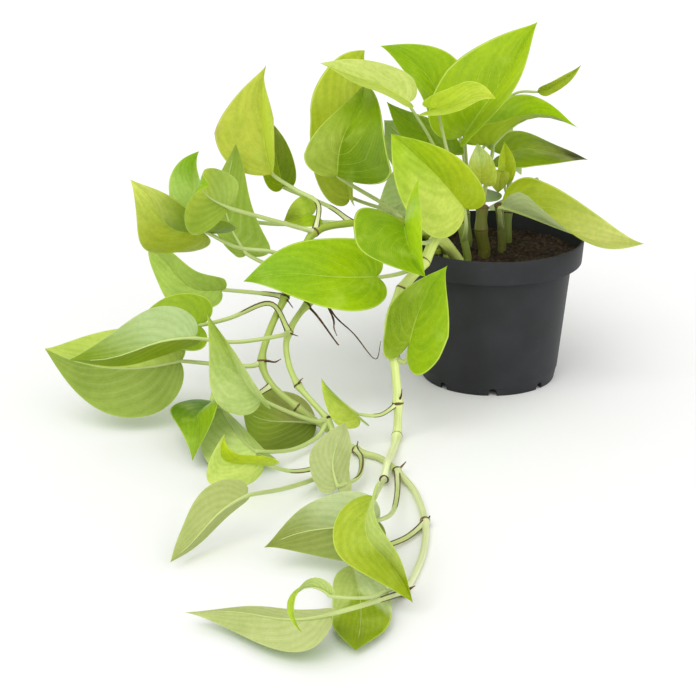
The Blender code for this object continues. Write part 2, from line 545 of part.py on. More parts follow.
class Blade:
    def __init__(self, leaf):
        joint, tip = placed(leaf.joint), placed(leaf.tip)
        self.leaf = leaf
        chord = tip - joint
        along = chord.normalized()
        facing = (TO_VIEWER - along * TO_VIEWER.dot(along)).normalized()
        turn = math.radians(leaf.turn)
        normal = facing * math.cos(turn) + along.cross(facing) * math.sin(turn)
        end = self.midrib(1.0)
        reach = math.hypot(*end)
        self.origin = joint
        self.length = chord.length / reach
        self.half_width = leaf.width / 2 / self.length
        self.forward = (along * end[0] - normal * end[1]) / reach
        self.up = (along * end[1] + normal * end[0]) / reach
        self.side = self.up.cross(self.forward)

    # The width of the left-hand half, for a sign of 1, or of the other one.
    def side_width(self, sign):
        return self.half_width * (1 + self.leaf.skew * sign)

    def pitch(self, x):
        late = max(0.0, (x - CURL_FROM) / (1 - CURL_FROM))
        return math.radians(-self.leaf.droop * x - self.leaf.curl * late * late)

    # The midrib of a leaf of length 1 in its own plane: distance forward and height.
    def midrib(self, x):
        forward = up = 0.0
        for step in range(MIDRIB_STEPS):
            pitch = self.pitch(x * (step + 0.5) / MIDRIB_STEPS)
            forward += math.cos(pitch) * x / MIDRIB_STEPS
            up += math.sin(pitch) * x / MIDRIB_STEPS
        return forward, up

    # The point of the blade's middle surface: x along the flat leaf and y across it, length 1.
    def point(self, x, y, t=0.5, lift=0.0):
        leaf = self.leaf
        forward, up = self.midrib(x)
        pitch = self.pitch(x)
        sign = 1 if y > 0 else -1
        share = min(abs(y) / self.side_width(sign), 1.0)
        slope = math.radians(leaf.fold + leaf.arch * share / 2)
        across = abs(y) * math.cos(slope) * sign
        rise = abs(y) * math.sin(slope)
        phase = WAVE_PHASES[0] if y > 0 else WAVE_PHASES[1]
        rise += leaf.wave / self.length * share ** 2 * math.sin(WAVE_TURNS * math.tau * t + phase)
        rise += lift / self.length
        along = max(x, 0.0)
        across += leaf.bow * math.sin(math.pi * along) + leaf.swerve * math.sin(math.tau * along)
        twist = math.radians(leaf.twist) * x
        across, rise = (across * math.cos(twist) - rise * math.sin(twist),
                        across * math.sin(twist) + rise * math.cos(twist))
        forward -= rise * math.sin(pitch)
        up += rise * math.cos(pitch)
        local = self.forward * forward + self.side * across + self.up * up
        return self.origin + local * self.length


def blade_mesh(blade):
    shape = bmesh.new()
    bmesh.ops.create_grid(shape, x_segments=BLADE_ROWS, y_segments=BLADE_COLUMNS, size=1)
    for vertex in shape.verts:
        t, s = (vertex.co.x + 1) / 2, vertex.co.y
        edge_x, edge_y = margin(t, blade.side_width(1 if s > 0 else -1), blade.leaf)
        rib = t ** RIB_CROWDING
        vertex.co = blade.point(rib + (edge_x - rib) * abs(s), edge_y * s, t) * MM
    bmesh.ops.remove_doubles(shape, verts=shape.verts, dist=1e-6)
    bmesh.ops.triangulate(shape, faces=shape.faces)
    mesh = bpy.data.meshes.new("blade")
    shape.to_mesh(mesh)
    shape.free()
    return mesh


# How far a stalk's foot at a point, heading a given way, stays clear of a stem.
def clearance(point, heading, foot_radius, line, radii):
    best = math.inf
    for start, stop, first, last in zip(line, line[1:], radii, radii[1:]):
        along = stop - start
        share = min(1.0, max(0.0, (point - start).dot(along) / along.length_squared))
        away = point - start - along * share
        reach = foot_radius * heading.cross(away.normalized()).length
        best = min(best, away.length - first - (last - first) * share - reach)
    return best


# The stalk starts beside its stem, follows its way, and ends under the midrib.
def stalk_line(leaf, blade):
    stem = STEMS[leaf.stem]
    line, radii = stem_line(stem), stem_radii(stem)
    start = route_point(stem, leaf.node)
    under = [blade.point(x, 0, lift=-depth) for x, depth in STALK_RIB_PLACES]
    way = [placed(place) for place in leaf.way]
    if not way:
        ahead = under[0] - start
        aside = (blade.forward / 2 - blade.up) * ahead.length * STALK_BOW
        way = [start + ahead * STALK_BOW_SHARE + aside]
    path = smooth_curve([start, *way, *under], STALK_WAY_STEPS)
    joint = path.index(min(path, key=lambda point: (point - under[0]).length))

    def touches(point, number):
        heading = (path[number + 1] - path[number]).normalized()
        return clearance(point, heading, STALK_FOOT_RADIUS * leaf.stalk, line, radii) < STALK_GAP

    first = next(number for number in range(joint) if not touches(path[number], number))
    inside, foot = path[max(first - 1, 0)], path[first]
    for _ in range(FOOT_HALVINGS):
        middle = (inside + foot) / 2
        if touches(middle, first):
            inside = middle
        else:
            foot = middle
    reach = [first + (joint - first) * step / STALK_PIECES for step in range(1, STALK_PIECES + 1)]
    points = [foot] + [path[round(place)] for place in reach] + under[1:]
    sizes = [STALK_FOOT_RADIUS + (STALK_JOINT_RADIUS - STALK_FOOT_RADIUS) * step / STALK_PIECES
             for step in range(STALK_PIECES + 1)] + [STALK_RIB_RADIUS, STALK_END_RADIUS]
    return points, [size * leaf.stalk for size in sizes]


def make_leaf(name, leaf):
    blade = Blade(leaf)
    obj = node_from(name, blade_mesh(blade), leaf.colour)
    shell = obj.modifiers.new("Thickness", "SOLIDIFY")
    shell.thickness = BLADE_THICKNESS * MM
    shell.offset = 0
    obj.data = mesh_of(obj)
    obj.modifiers.clear()
    points, radii = stalk_line(leaf, blade)
    combine(obj, helper_from(tube_mesh(points, radii, STALK_ROUNDING)), "UNION")
    return obj


def turned_mesh(outline, steps):
    shape = bmesh.new()
    verts = [shape.verts.new((radius * MM, 0, height * MM)) for radius, height in outline]
    edges = [shape.edges.new(pair) for pair in zip(verts, verts[1:])]
    bmesh.ops.spin(shape, geom=verts + edges, axis=(0, 0, 1), cent=(0, 0, 0),
                   angle=math.tau, steps=steps, use_merge=True)
    bmesh.ops.remove_doubles(shape, verts=shape.verts, dist=1e-6)
    bmesh.ops.recalc_face_normals(shape, faces=shape.faces)
    mesh = bpy.data.meshes.new("turned")
    shape.to_mesh(mesh)
    shape.free()
    return mesh


# The slots' upright outline: straight sides and a round head.
def slot_outline():
    half = SLOT_WIDTH / 2
    head = SLOT_HEIGHT - half
    turns = [math.pi * (1 - step / SLOT_ARC_STEPS) for step in range(SLOT_ARC_STEPS + 1)]
    arc = [(half * math.cos(turn), head + half * math.sin(turn)) for turn in turns]
    return [(-half, -1.0), *arc, (half, -1.0)]


def slot_cutter():
    shape = bmesh.new()
    for number in range(SLOT_COUNT):
        angle = math.tau * number / SLOT_COUNT - math.pi / 2
        out = Vector((math.cos(angle), math.sin(angle), 0))
        side = Vector((-out.y, out.x, 0))
        ring = [shape.verts.new((out * SLOT_INNER_RADIUS + side * x + Vector((0, 0, z))) * MM)
                for x, z in slot_outline()]
        pushed = bmesh.ops.extrude_face_region(shape, geom=[shape.faces.new(ring)])
        moved = [item for item in pushed["geom"] if isinstance(item, bmesh.types.BMVert)]
        bmesh.ops.translate(shape, verts=moved, vec=out * SLOT_DEPTH * MM)
    bmesh.ops.recalc_face_normals(shape, faces=shape.faces)
    mesh = bpy.data.meshes.new("slots")
    shape.to_mesh(mesh)
    shape.free()
    return mesh


# The pot's outline runs from the middle of its foot, up the outside and down the inside. The flat
# pad in the middle of the foot is level with the foot's rim.
def make_pot():
    outline = (
        (0, 0), (POT_PAD_RADIUS, 0), (POT_PAD_RADIUS + 1, POT_FLOOR),
        (POT_FOOT_RADIUS - POT_WALL - 0.2, POT_FLOOR), (POT_FOOT_RADIUS - POT_WALL, 0),
        (POT_FOOT_RADIUS, 0), (POT_TAPER_RADIUS, POT_FOOT_HEIGHT),
        (POT_SHOULDER_RADIUS, POT_SHOULDER), (POT_LEDGE_RADIUS, POT_SHOULDER),
        (POT_RIM_RADIUS, POT_HEIGHT), (POT_RIM_RADIUS - POT_WALL, POT_HEIGHT),
        (POT_LEDGE_RADIUS - POT_WALL, POT_SHOULDER + POT_WALL),
        (POT_SHOULDER_RADIUS - POT_WALL, POT_SHOULDER + 0.6),
        (POT_INNER_FOOT_RADIUS, POT_FLOOR + POT_WALL), (0, POT_FLOOR + POT_WALL),
    )
    pot = node_from("pot", turned_mesh(outline, POT_STEPS), "pot_black")
    combine(pot, helper_from(slot_cutter()), "DIFFERENCE")
    return pot


def soil_height(x, y):
    coarse = math.sin(x / 7.3 + 1.1) * math.cos(y / 6.1)
    return SOIL_TOP + SOIL_BUMP * (coarse + 0.5 * math.sin((x + y) / 4.1))


def make_soil():
    bottom = POT_FLOOR + POT_WALL + GAP
    edge = POT_LEDGE_RADIUS - POT_WALL - GAP
    outline = (
        (0, bottom), (POT_INNER_FOOT_RADIUS - GAP - 0.1, bottom),
        (POT_SHOULDER_RADIUS - POT_WALL - GAP, POT_SHOULDER + 1.2),
        (edge - GAP, POT_SHOULDER + POT_WALL + 0.9), (edge, SOIL_TOP),
        *((radius, SOIL_TOP) for radius in SOIL_RINGS),
    )
    mesh = turned_mesh(outline, SOIL_STEPS)
    for vertex in mesh.vertices:
        x, y, z = vertex.co / MM
        if z > SOIL_TOP - GAP and math.hypot(x, y) < SOIL_RINGS[0] + 1:
            vertex.co.z = soil_height(x, y) * MM
    soil = node_from("soil", mesh, "soil_brown")
    for stem in STEMS.values():
        foot = stem.route[0]
        ends = [Vector((foot.x, foot.y, STEM_FOOT - GAP)), Vector((foot.x, foot.y, SOIL_TOP + 6))]
        radius = stem.foot_radius + STEM_HOLE_MARGIN
        combine(soil, helper_from(tube_mesh(ends, (radius, radius), 3)), "DIFFERENCE")
    return soil


clear_scene()
make_pot()
make_soil()
for stem_name in STEMS:
    make_stem(stem_name)
for leaf_name, leaf_shape in ALL_LEAVES.items():
    make_leaf(leaf_name, leaf_shape)
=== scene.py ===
# A potted golden pothos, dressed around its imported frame: finely shaped leaves, stalks and vines, the
# moulded pot and its soil. Sizes in the tables are millimetres. A place is a column and a row of a
# 696 x 696 view with a distance toward the viewer, as in the part's own source.

import math

import bmesh
import bpy
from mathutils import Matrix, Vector, noise


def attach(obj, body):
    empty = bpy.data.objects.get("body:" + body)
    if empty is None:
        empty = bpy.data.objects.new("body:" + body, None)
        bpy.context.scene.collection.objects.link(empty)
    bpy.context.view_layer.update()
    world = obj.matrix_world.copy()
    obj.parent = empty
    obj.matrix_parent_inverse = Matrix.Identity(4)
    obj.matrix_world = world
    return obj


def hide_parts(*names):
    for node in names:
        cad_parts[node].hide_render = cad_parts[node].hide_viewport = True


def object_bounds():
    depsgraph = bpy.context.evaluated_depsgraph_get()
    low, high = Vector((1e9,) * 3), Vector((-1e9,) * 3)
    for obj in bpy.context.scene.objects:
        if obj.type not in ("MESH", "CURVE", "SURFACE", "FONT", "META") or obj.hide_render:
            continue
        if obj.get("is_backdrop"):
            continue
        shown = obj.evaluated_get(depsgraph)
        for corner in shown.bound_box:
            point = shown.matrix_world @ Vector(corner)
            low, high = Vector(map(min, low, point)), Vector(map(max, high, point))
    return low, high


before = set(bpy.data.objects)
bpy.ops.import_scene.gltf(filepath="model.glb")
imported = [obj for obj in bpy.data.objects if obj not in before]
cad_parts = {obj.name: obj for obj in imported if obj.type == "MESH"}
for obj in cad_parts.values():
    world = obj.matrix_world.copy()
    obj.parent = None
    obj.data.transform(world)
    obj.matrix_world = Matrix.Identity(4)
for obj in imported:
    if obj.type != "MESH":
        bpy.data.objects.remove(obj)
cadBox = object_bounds()
print("frame loaded:", len(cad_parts), "nodes")

mm = 0.001

view = {"tilt": 20, "distance": 1200.0, "aim": (-93.0, 0.0, 17.0), "focal": 1810.0, "size": 696,
        "lowRow": 450.0, "lowSqueeze": 0.9, "sensor": 36}
tilt = math.radians(view["tilt"])
toViewer = Vector((0, -math.cos(tilt), math.sin(tilt)))
viewUp = Vector((0, math.sin(tilt), math.cos(tilt)))
eye = Vector(view["aim"]) + toViewer * view["distance"]


def sightLine(column, row):
    if row > view["lowRow"]:
        row = view["lowRow"] + (row - view["lowRow"]) * view["lowSqueeze"]
    middle = view["size"] / 2
    across = Vector((1, 0, 0)) * (column - middle)
    return (across + viewUp * (middle - row) - toViewer * view["focal"]) / view["focal"]


def seen(column, row, toward):  # the point on that sight line, so far toward the viewer
    line = sightLine(column, row)
    return eye + line * ((-toward - eye.y) / line.y)


def laid(column, row, height):  # the point on that sight line, so high above the surface
    line = sightLine(column, row)
    return eye + line * ((height - eye.z) / line.z)


def placed(place):
    return place if isinstance(place, Vector) else seen(*place)


def smoothCurve(points, pieces):
    ends = [2 * points[0] - points[1]] + list(points) + [2 * points[-1] - points[-2]]
    curve = []
    for before, start, stop, after in zip(ends, ends[1:], ends[2:], ends[3:]):
        for step in range(pieces):
            t = step / pieces
            curve.append(0.5 * (
                2 * start + (stop - before) * t
                + (2 * before - 5 * start + 4 * stop - after) * t * t
                + (3 * start - before - 3 * stop + after) * t ** 3))
    return curve + [points[-1]]


def smoothStep(low, high, x):
    share = min(1.0, max(0.0, (x - low) / (high - low)))
    return share * share * (3 - 2 * share)


# A shader socket in sums: an expression such as 1 - mask adds its Math nodes.
class Socket:
    def __init__(self, finish, link):
        self.finish = finish
        self.link = link

    def maths(self, operation, *others):
        values = dict(enumerate((self, *others)))
        return self.finish.node("ShaderNodeMath", {"operation": operation}, values)

    def turned(self, operation, other):
        return self.finish.node("ShaderNodeMath", {"operation": operation}, {0: other, 1: self})

    def __abs__(self):
        return self.maths("ABSOLUTE")


for sign, operation in (("add", "ADD"), ("sub", "SUBTRACT"), ("mul", "MULTIPLY"), ("pow", "POWER")):
    setattr(Socket, f"__{sign}__", lambda self, other, kind=operation: self.maths(kind, other))
    setattr(Socket, f"__r{sign}__", lambda self, other, kind=operation: self.turned(kind, other))


# A material and the nodes that its finish is made of.
class Finish:
    def __init__(self, name, **fixed):
        self.material = bpy.data.materials.new(name)
        self.material.use_nodes = True
        self.tree = self.material.node_tree
        self.shader = self.tree.nodes["Principled BSDF"]
        for socket, value in fixed.items():
            self.shader.inputs[socket.replace("_", " ")].default_value = value

    def node(self, kind, settings=None, sockets=None, outlet=0):
        made = self.tree.nodes.new(kind)
        for key, value in (settings or {}).items():
            if key == "stops":
                self.fillRamp(made.color_ramp, value)
            else:
                setattr(made, key, value)
        for key, value in (sockets or {}).items():
            if isinstance(value, Socket):
                self.tree.links.new(value.link, made.inputs[key])
            else:
                made.inputs[key].default_value = value
        return Socket(self, made.outputs[outlet])

    def fillRamp(self, ramp, stops):
        while len(ramp.elements) < len(stops):
            ramp.elements.new(1)
        for element, (position, colour) in zip(ramp.elements, stops):
            element.position = position
            element.color = (*colour, 1)

    def mix(self, share, first, second, mode="MIX"):
        settings = {"data_type": "RGBA", "blend_type": mode}
        first, second = [(*item, 1) if isinstance(item, tuple) else item for item in (first, second)]
        return self.node("ShaderNodeMix", settings, {0: share, 6: first, 7: second}, 2)

    def ramped(self, value, low, high):
        return self.node("ShaderNodeMapRange", {"interpolation_type": "SMOOTHSTEP"},
                         {0: value, 1: low, 2: high})

    def noise(self, scale, detail=3.0, vector=None):
        vector = vector or self.node("ShaderNodeTexCoord", outlet="Object")
        return self.node("ShaderNodeTexNoise", None, {"Vector": vector, "Scale": scale, "Detail": detail})

    def spread(self, x, y, z):
        return self.node("ShaderNodeCombineXYZ", None, {0: x, 1: y, 2: z})

    def plane(self):  # the piece's own UV map, as two numbers
        skin = self.node("ShaderNodeUVMap", {"uv_map": "skin"})
        return [self.node("ShaderNodeSeparateXYZ", None, {0: skin}, axis) for axis in (0, 1)]

    def attribute(self, name, outlet):
        return self.node("ShaderNodeAttribute", {"attribute_name": name}, outlet=outlet)

    def paint(self, colour, roughness, height, depth, strength):
        relief = {"Height": height, "Distance": depth, "Strength": strength}
        bump = self.node("ShaderNodeBump", None, relief, "Normal")
        for socket, value in (("Base Color", colour), ("Roughness", roughness), ("Normal", bump)):
            self.tree.links.new(value.link, self.shader.inputs[socket])
        return self.material


veinLook = {"count": 9, "sweep": 0.36, "wander": 0.05}
tissue = {"Subsurface_Weight": 0.1, "Subsurface_Scale": 0.001}


# The lateral veins' count along the leaf, whole numbers lying on a vein: they leave the midrib and
# sweep forward to the margin. In mesh code it takes numbers and in a finish sockets.
def veinCount(t, v):
    return (t - v ** 1.2 * veinLook["sweep"]) * veinLook["count"]


# How far out from the midrib a place on the blade is, the veins' count there, the distance from a
# vein, and the line of the midrib.
def veinPattern(leaf, cloud, ribEdge, ribCore):
    t, across = leaf.plane()
    v = abs(across * 2 - 1)
    count = veinCount(t + (cloud - 0.5) * veinLook["wander"], v)
    midrib = leaf.ramped(v - (1 - t) * 0.02, ribEdge, ribCore)
    return v, count, abs(count.maths("FRACT") - 0.5), midrib


# Shade and then paler marks over the side's own tone.
def marked(leaf, look, dim, pale):
    tone = leaf.attribute("tone", "Color")
    shaded = leaf.mix(look["darkening"], tone, look["shade"], "MULTIPLY")
    colour = leaf.mix(dim.maths("MINIMUM", 1.0), tone, shaded)
    return leaf.mix(pale.maths("MINIMUM", 1.0), colour, look["pale"])


# The shares of shade and then of paler marks on the upper side, with their colours. Among the paler marks,
# the large soft pale patches are a painted sheen, standing in for the lamps' reflection.
topLook = {"darkening": 0.6, "shade": (0.45, 0.6, 0.2), "cloud": 0.4, "patch": 0.14, "streak": 0.3,
           "grain": 0.24, "between": 0.14, "edge": 0.4, "pale": (0.66, 0.8, 0.16), "lateral": 0.13,
           "fine": 0.04, "midrib": 0.36, "margin": 0.5, "bloom": 0.2, "specks": 0.3,
           "dried": (0.36, 0.27, 0.1), "roughness": 0.3, "depth": 0.00025}


def leafTopFinish():
    leaf = Finish("leafTop", Specular_IOR_Level=0.14, Subsurface_Radius=(0.7, 1.0, 0.1), **tissue)
    look = topLook
    cloud, patch, grain = leaf.noise(34, 4), leaf.noise(110, 3), leaf.noise(400, 3)
    v, count, vein, midrib = veinPattern(leaf, cloud, 0.014, 0.0)
    lateral = leaf.ramped(vein, 0.42, 0.5) * leaf.ramped(v, 1.0, 0.3)
    fine = leaf.ramped(abs((count * 5).maths("FRACT") - 0.5), 0.2, 0.5)
    margin = leaf.ramped(v, 0.955, 0.975) * leaf.ramped(v, 0.998, 0.986)
    speck = leaf.ramped(leaf.noise(1300, 2), 0.62, 0.72) * leaf.ramped(leaf.noise(60, 2), 0.4, 0.66)
    # Large soft pale patches: a painted sheen, the glossy upper side's reflection of the lamps painted into
    # its colour.
    bloom = leaf.ramped(leaf.noise(46, 3), 0.56, 0.76)
    streak = leaf.noise(1.0, 4, leaf.spread(count * 1.5, v * 2.2, leaf.noise(8) * 9))
    # Darker marks. The share midway between the lateral veins is painted shade of the quilted swelling
    # there.
    dim = (leaf.ramped(cloud, 0.4, 0.7) * look["cloud"] + leaf.ramped(patch, 0.36, 0.64) * look["patch"]
           + leaf.ramped(streak, 0.38, 0.62) * look["streak"] + leaf.ramped(grain, 0.4, 0.6) * look["grain"]
           + leaf.ramped(vein, 0.3, 0.0) * look["between"] + leaf.ramped(v, 0.985, 0.997) * look["edge"])
    pale = (lateral * look["lateral"] + fine * look["fine"] + midrib * look["midrib"]
            + margin * look["margin"] + bloom * look["bloom"] + speck * look["specks"])
    dry = leaf.attribute("dry", "Fac") + (cloud - 0.5) * 0.5
    colour = leaf.mix(leaf.ramped(dry, 0.35, 0.75), marked(leaf, look, dim, pale), look["dried"])
    height = grain * 0.7 + patch * 2.6 - lateral * 0.6 - fine * 0.2
    return leaf.paint(colour, cloud * 0.16 + look["roughness"], height, look["depth"], 0.4)


underLook = {"darkening": 0.7, "shade": (0.5, 0.6, 0.3), "cloud": 0.4, "patch": 0.14, "grain": 0.16,
             "fine": 0.12, "between": 0.2, "pale": (0.72, 0.8, 0.42), "lateral": 0.1, "midrib": 0.4,
             "margin": 0.22, "roughness": 0.45, "depth": 0.00022}


def leafUnderFinish():
    leaf = Finish("leafUnderside", Specular_IOR_Level=0.16, Subsurface_Radius=(0.7, 1.0, 0.2), **tissue)
    look = underLook
    cloud, patch, grain = leaf.noise(30, 3), leaf.noise(90, 3), leaf.noise(420, 3)
    v, count, vein, midrib = veinPattern(leaf, cloud, 0.02, 0.002)
    lateral = leaf.ramped(vein, 0.36, 0.5) * leaf.ramped(v, 1.0, 0.4)
    fine = leaf.ramped(abs((count * 4).maths("FRACT") - 0.5), 0.05, 0.5)
    margin = leaf.ramped(v, 0.97, 0.995)
    # Darker marks. The share midway between the lateral veins is painted shade of the quilted swelling
    # there.
    dim = (leaf.ramped(cloud, 0.42, 0.68) * look["cloud"] + leaf.ramped(patch, 0.34, 0.66) * look["patch"]
           + leaf.ramped(grain, 0.4, 0.6) * look["grain"] + fine * look["fine"]
           + leaf.ramped(vein, 0.3, 0.0) * look["between"])
    pale = lateral * look["lateral"] + midrib * look["midrib"] + margin * look["margin"]
    colour = marked(leaf, look, dim, pale)
    height = lateral * 0.6 + fine * 0.3 + grain * 0.6 + patch * 2.4
    return leaf.paint(colour, cloud * 0.1 + look["roughness"], height, look["depth"], 0.45)


skinLook = {"shade": (0.5, 0.56, 0.3), "streak": 0.45, "patch": 0.2, "driedDark": (0.035, 0.016, 0.006),
            "driedLight": (0.16, 0.085, 0.03), "roughness": 0.42, "depth": 0.0002}


def skinFinish():  # green stalks and vines, brown where they have dried
    skin = Finish("stemSkin", Specular_IOR_Level=0.4, Subsurface_Radius=(0.8, 1.0, 0.3), **tissue)
    look = skinLook
    along, around = skin.plane()
    streak = skin.noise(3.0, 4, skin.spread(along * 1.4, around * 7, 0.5))
    patch = skin.noise(70, 3)
    tone = skin.attribute("tone", "Color")
    darker = skin.mix(0.7, tone, look["shade"], "MULTIPLY")
    dim = skin.ramped(streak, 0.4, 0.68) * look["streak"] + skin.ramped(patch, 0.5, 0.75) * look["patch"]
    colour = skin.mix(dim, tone, darker)
    dry = skin.attribute("dry", "Fac")
    ragged = dry + (patch - 0.5) * 0.35 + (skin.noise(300, 3) - 0.5) * 0.4
    brown = skin.mix(skin.ramped(skin.noise(150, 3), 0.35, 0.65), look["driedDark"], look["driedLight"])
    colour = skin.mix(skin.ramped(ragged, 0.38, 0.56), colour, brown)
    height = streak * 0.6 + skin.noise(600, 2) * 0.25 + skin.ramped(ragged, 0.38, 0.6) * 0.5
    return skin.paint(colour, dry * 0.3 + look["roughness"], height, look["depth"], 0.5)


rootLook = {"stops": ((0.3, (0.03, 0.014, 0.006)), (0.5, (0.1, 0.045, 0.018)), (0.7, (0.26, 0.14, 0.06)))}


def rootFinish():
    root = Finish("dryRoot", Specular_IOR_Level=0.25)
    grain = root.noise(260, 4)
    colour = root.node("ShaderNodeValToRGB", rootLook, {0: grain})
    return root.paint(colour, grain * 0.2 + 0.6, grain, 0.0004, 0.7)


finishes = {"top": leafTopFinish(), "under": leafUnderFinish(), "skin": skinFinish(), "root": rootFinish()}
print("finishes ready")


# A new mesh under way, with the layers that the finishes read.
def newShape():
    shape = bmesh.new()
    shape.loops.layers.uv.new("skin")
    shape.loops.layers.float_color.new("tone")
    shape.verts.layers.float.new("dry")
    return shape


def paintFaces(shape, faces, tone, slot):
    skin = shape.loops.layers.uv["skin"]
    layer = shape.loops.layers.float_color["tone"]
    for face in faces:
        face.material_index = slot
        for loop in face.loops:
            loop[layer] = (*tone(loop[skin].uv), 1)


def mapPlane(shape, faces, scale=1.0):  # before a grid is bent, its own plane is its UV map
    skin = shape.loops.layers.uv["skin"]
    for face in faces:
        for loop in face.loops:
            loop[skin].uv = ((loop.vert.co.x + 1) / 2 * scale, (loop.vert.co.y + 1) / 2)


def facesOf(verts):
    return list({face for vert in verts for face in vert.link_faces})


# How far a tube's end goes on, in radii, where on that way it narrows, and to what share of its radius.
# `mapLength` is the length of tube for each unit of its map.
tubeEnd = {"reach": 0.5, "shoulder": 0.6, "narrow": 0.7}
mapLength = 100


# A closed round tube: a grid rolled up along a line of points, drawn to a point at both ends.
# `swell` changes its radius round it, from -1 to 1 with 0 on the side of `hint`, and `dried` says how
# brown it is.
def addTube(shape, line, radii, sides, tone, slot, hint=toViewer, swell=None, dried=None):
    reach, shoulder, narrow = tubeEnd.values()
    ahead = (line[-1] - line[-2]).normalized() * radii[-1] * reach
    back = (line[0] - line[1]).normalized() * radii[0] * reach
    line = [line[0] + back, line[0] + back * shoulder, *line, line[-1] + ahead * shoulder, line[-1] + ahead]
    radii = [0.0, radii[0] * narrow, *radii, radii[-1] * narrow, 0.0]
    count = len(line) - 1
    length = sum((b - a).length for a, b in zip(line, line[1:]))
    verts = bmesh.ops.create_grid(shape, x_segments=count, y_segments=sides, size=1)["verts"]
    faces = facesOf(verts)
    mapPlane(shape, faces, length / mapLength)
    paintFaces(shape, faces, lambda uv: tone(uv[0] * mapLength / length), slot)
    dry = shape.verts.layers.float["dry"]
    frames = []
    side = hint
    for number, point in enumerate(line):
        along = (line[min(number + 1, count)] - line[max(number - 1, 0)]).normalized()
        side = (side - along * side.dot(along)).normalized()
        frames.append((point, side, along.cross(side)))
    for vert in verts:
        number = round((vert.co.x + 1) / 2 * count)
        around = vert.co.y
        point, first, second = frames[number]
        angle = -math.pi * around
        radius = radii[number] * (swell(number / count, around) if swell else 1.0)
        vert[dry] = dried(number / count, around) if dried else 0.0
        vert.co = (point + (first * math.cos(angle) + second * math.sin(angle)) * radius) * mm
    bmesh.ops.remove_doubles(shape, verts=verts, dist=1e-7)


def placeInScene(name, content):
    made = bpy.data.objects.new(name, content)
    bpy.context.scene.collection.objects.link(made)
    return made


def plainObject(shape, name):
    mesh = bpy.data.meshes.new(name)
    shape.to_mesh(mesh)
    shape.free()
    return placeInScene(name, mesh)


def smoothed(piece, sharp):
    piece.data.shade_smooth()
    piece.data.set_sharp_from_angle(angle=math.radians(sharp))


def pieceFrom(shape, name, node, slot, materials, sharp=50):
    piece = plainObject(shape, name)
    for key in materials:
        piece.data.materials.append(finishes[key])
    smoothed(piece, sharp)
    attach(piece, "root")
    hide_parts(node)
    return piece


def pieceName(node):  # such as crownTallLeaf for leaf_crown_tall
    kind, *words = node.split("_")
    return words[0] + "".join(word.title() for word in words[1:]) + kind.title()


# The vines and short stems: where each runs, its radii, its nodes counted in points of the route, and
# its colours at both ends.
soilTop = 83.0


def standing(x, y):  # the foot of a stem, 14 mm deep in the soil and upright where it leaves it
    return [Vector((x, y, soilTop + height)) for height in (-14, 1.5, 5.5)]


stems = {
    "stem_thick": dict(
        route=(*standing(-5, -8), seen(481, 229, 9), seen(482, 207, 8)),
        radii=(4.2, 3.6), nodes=(3, 4), tones=((0.12, 0.12, 0.015), (0.2, 0.22, 0.03)), slot="stem_brown"),
    "stem_right": dict(
        route=(*standing(7, -1), seen(501, 229, 2), seen(499, 205, 3)),
        radii=(3.0, 2.4), nodes=(4,), tones=((0.14, 0.14, 0.025), (0.24, 0.28, 0.06)), slot="stem_brown"),
    "stem_mid": dict(
        route=(*standing(-17, -25), seen(464, 240, 26), seen(460, 222, 27)),
        radii=(2.9, 2.3), nodes=(4,), tones=((0.2, 0.25, 0.04), (0.34, 0.42, 0.1))),
    "stem_back": dict(
        route=(*standing(-14, 14), seen(465, 214, -16), seen(462, 190, -17)),
        radii=(3.0, 2.4), nodes=(3, 4), tones=((0.2, 0.25, 0.04), (0.34, 0.42, 0.1))),
    "stem_rear": dict(
        route=(*standing(13, 24), seen(508, 212, -26), seen(510, 192, -28)),
        radii=(2.8, 2.2), nodes=(3, 4), tones=((0.2, 0.25, 0.04), (0.3, 0.38, 0.1))),
    "vine_front": dict(
        route=(*standing(-24, -31), seen(438, 238, 50), seen(424, 262, 68), seen(402, 290, 86),
               seen(389, 325, 98), seen(394, 356, 106), seen(398, 403, 115), laid(397, 436, 3.2),
               laid(392, 452, 4.5), laid(387, 465, 7.6), laid(384, 483, 3.0)),
        radii=(4.0, 1.9), nodes=(4, 5, 7, 8, 9, 12), tones=((0.7, 0.82, 0.19), (0.86, 0.92, 0.56))),
    "vine_mid": dict(
        route=(*standing(-30, -16), seen(425, 232, 36), seen(384, 252, 44), seen(340, 281, 54),
               seen(307, 305, 66), seen(289, 332, 82), seen(287, 356, 94), seen(298, 385, 106),
               seen(327, 419, 118), laid(335, 442, 4.5), laid(336, 461, 2.6)),
        radii=(2.3, 1.6), nodes=(4, 6, 7, 9, 10, 12), tones=((0.47, 0.58, 0.12), (0.74, 0.86, 0.33))),
    "vine_long": dict(
        route=(*standing(-35, -3), seen(404, 222, 17), seen(352, 223, 31), seen(315, 232, 45),
               seen(299, 262, 60), seen(285, 297, 76), seen(270, 330, 88), seen(262, 361, 97),
               seen(272, 385, 104), seen(297, 407, 111), laid(327, 429, 5.5), laid(356, 450, 3.2),
               laid(380, 459, 2.6), laid(397, 474, 2.6), laid(415, 497, 2.6), laid(425, 530, 2.6),
               laid(424, 560, 2.6), laid(415, 588, 2.6), laid(404, 608, 2.6)),
        radii=(2.5, 1.7), nodes=(3, 5, 7, 9, 11, 13, 15, 17, 20),
        tones=((0.38, 0.5, 0.03), (0.84, 0.88, 0.54))),
}

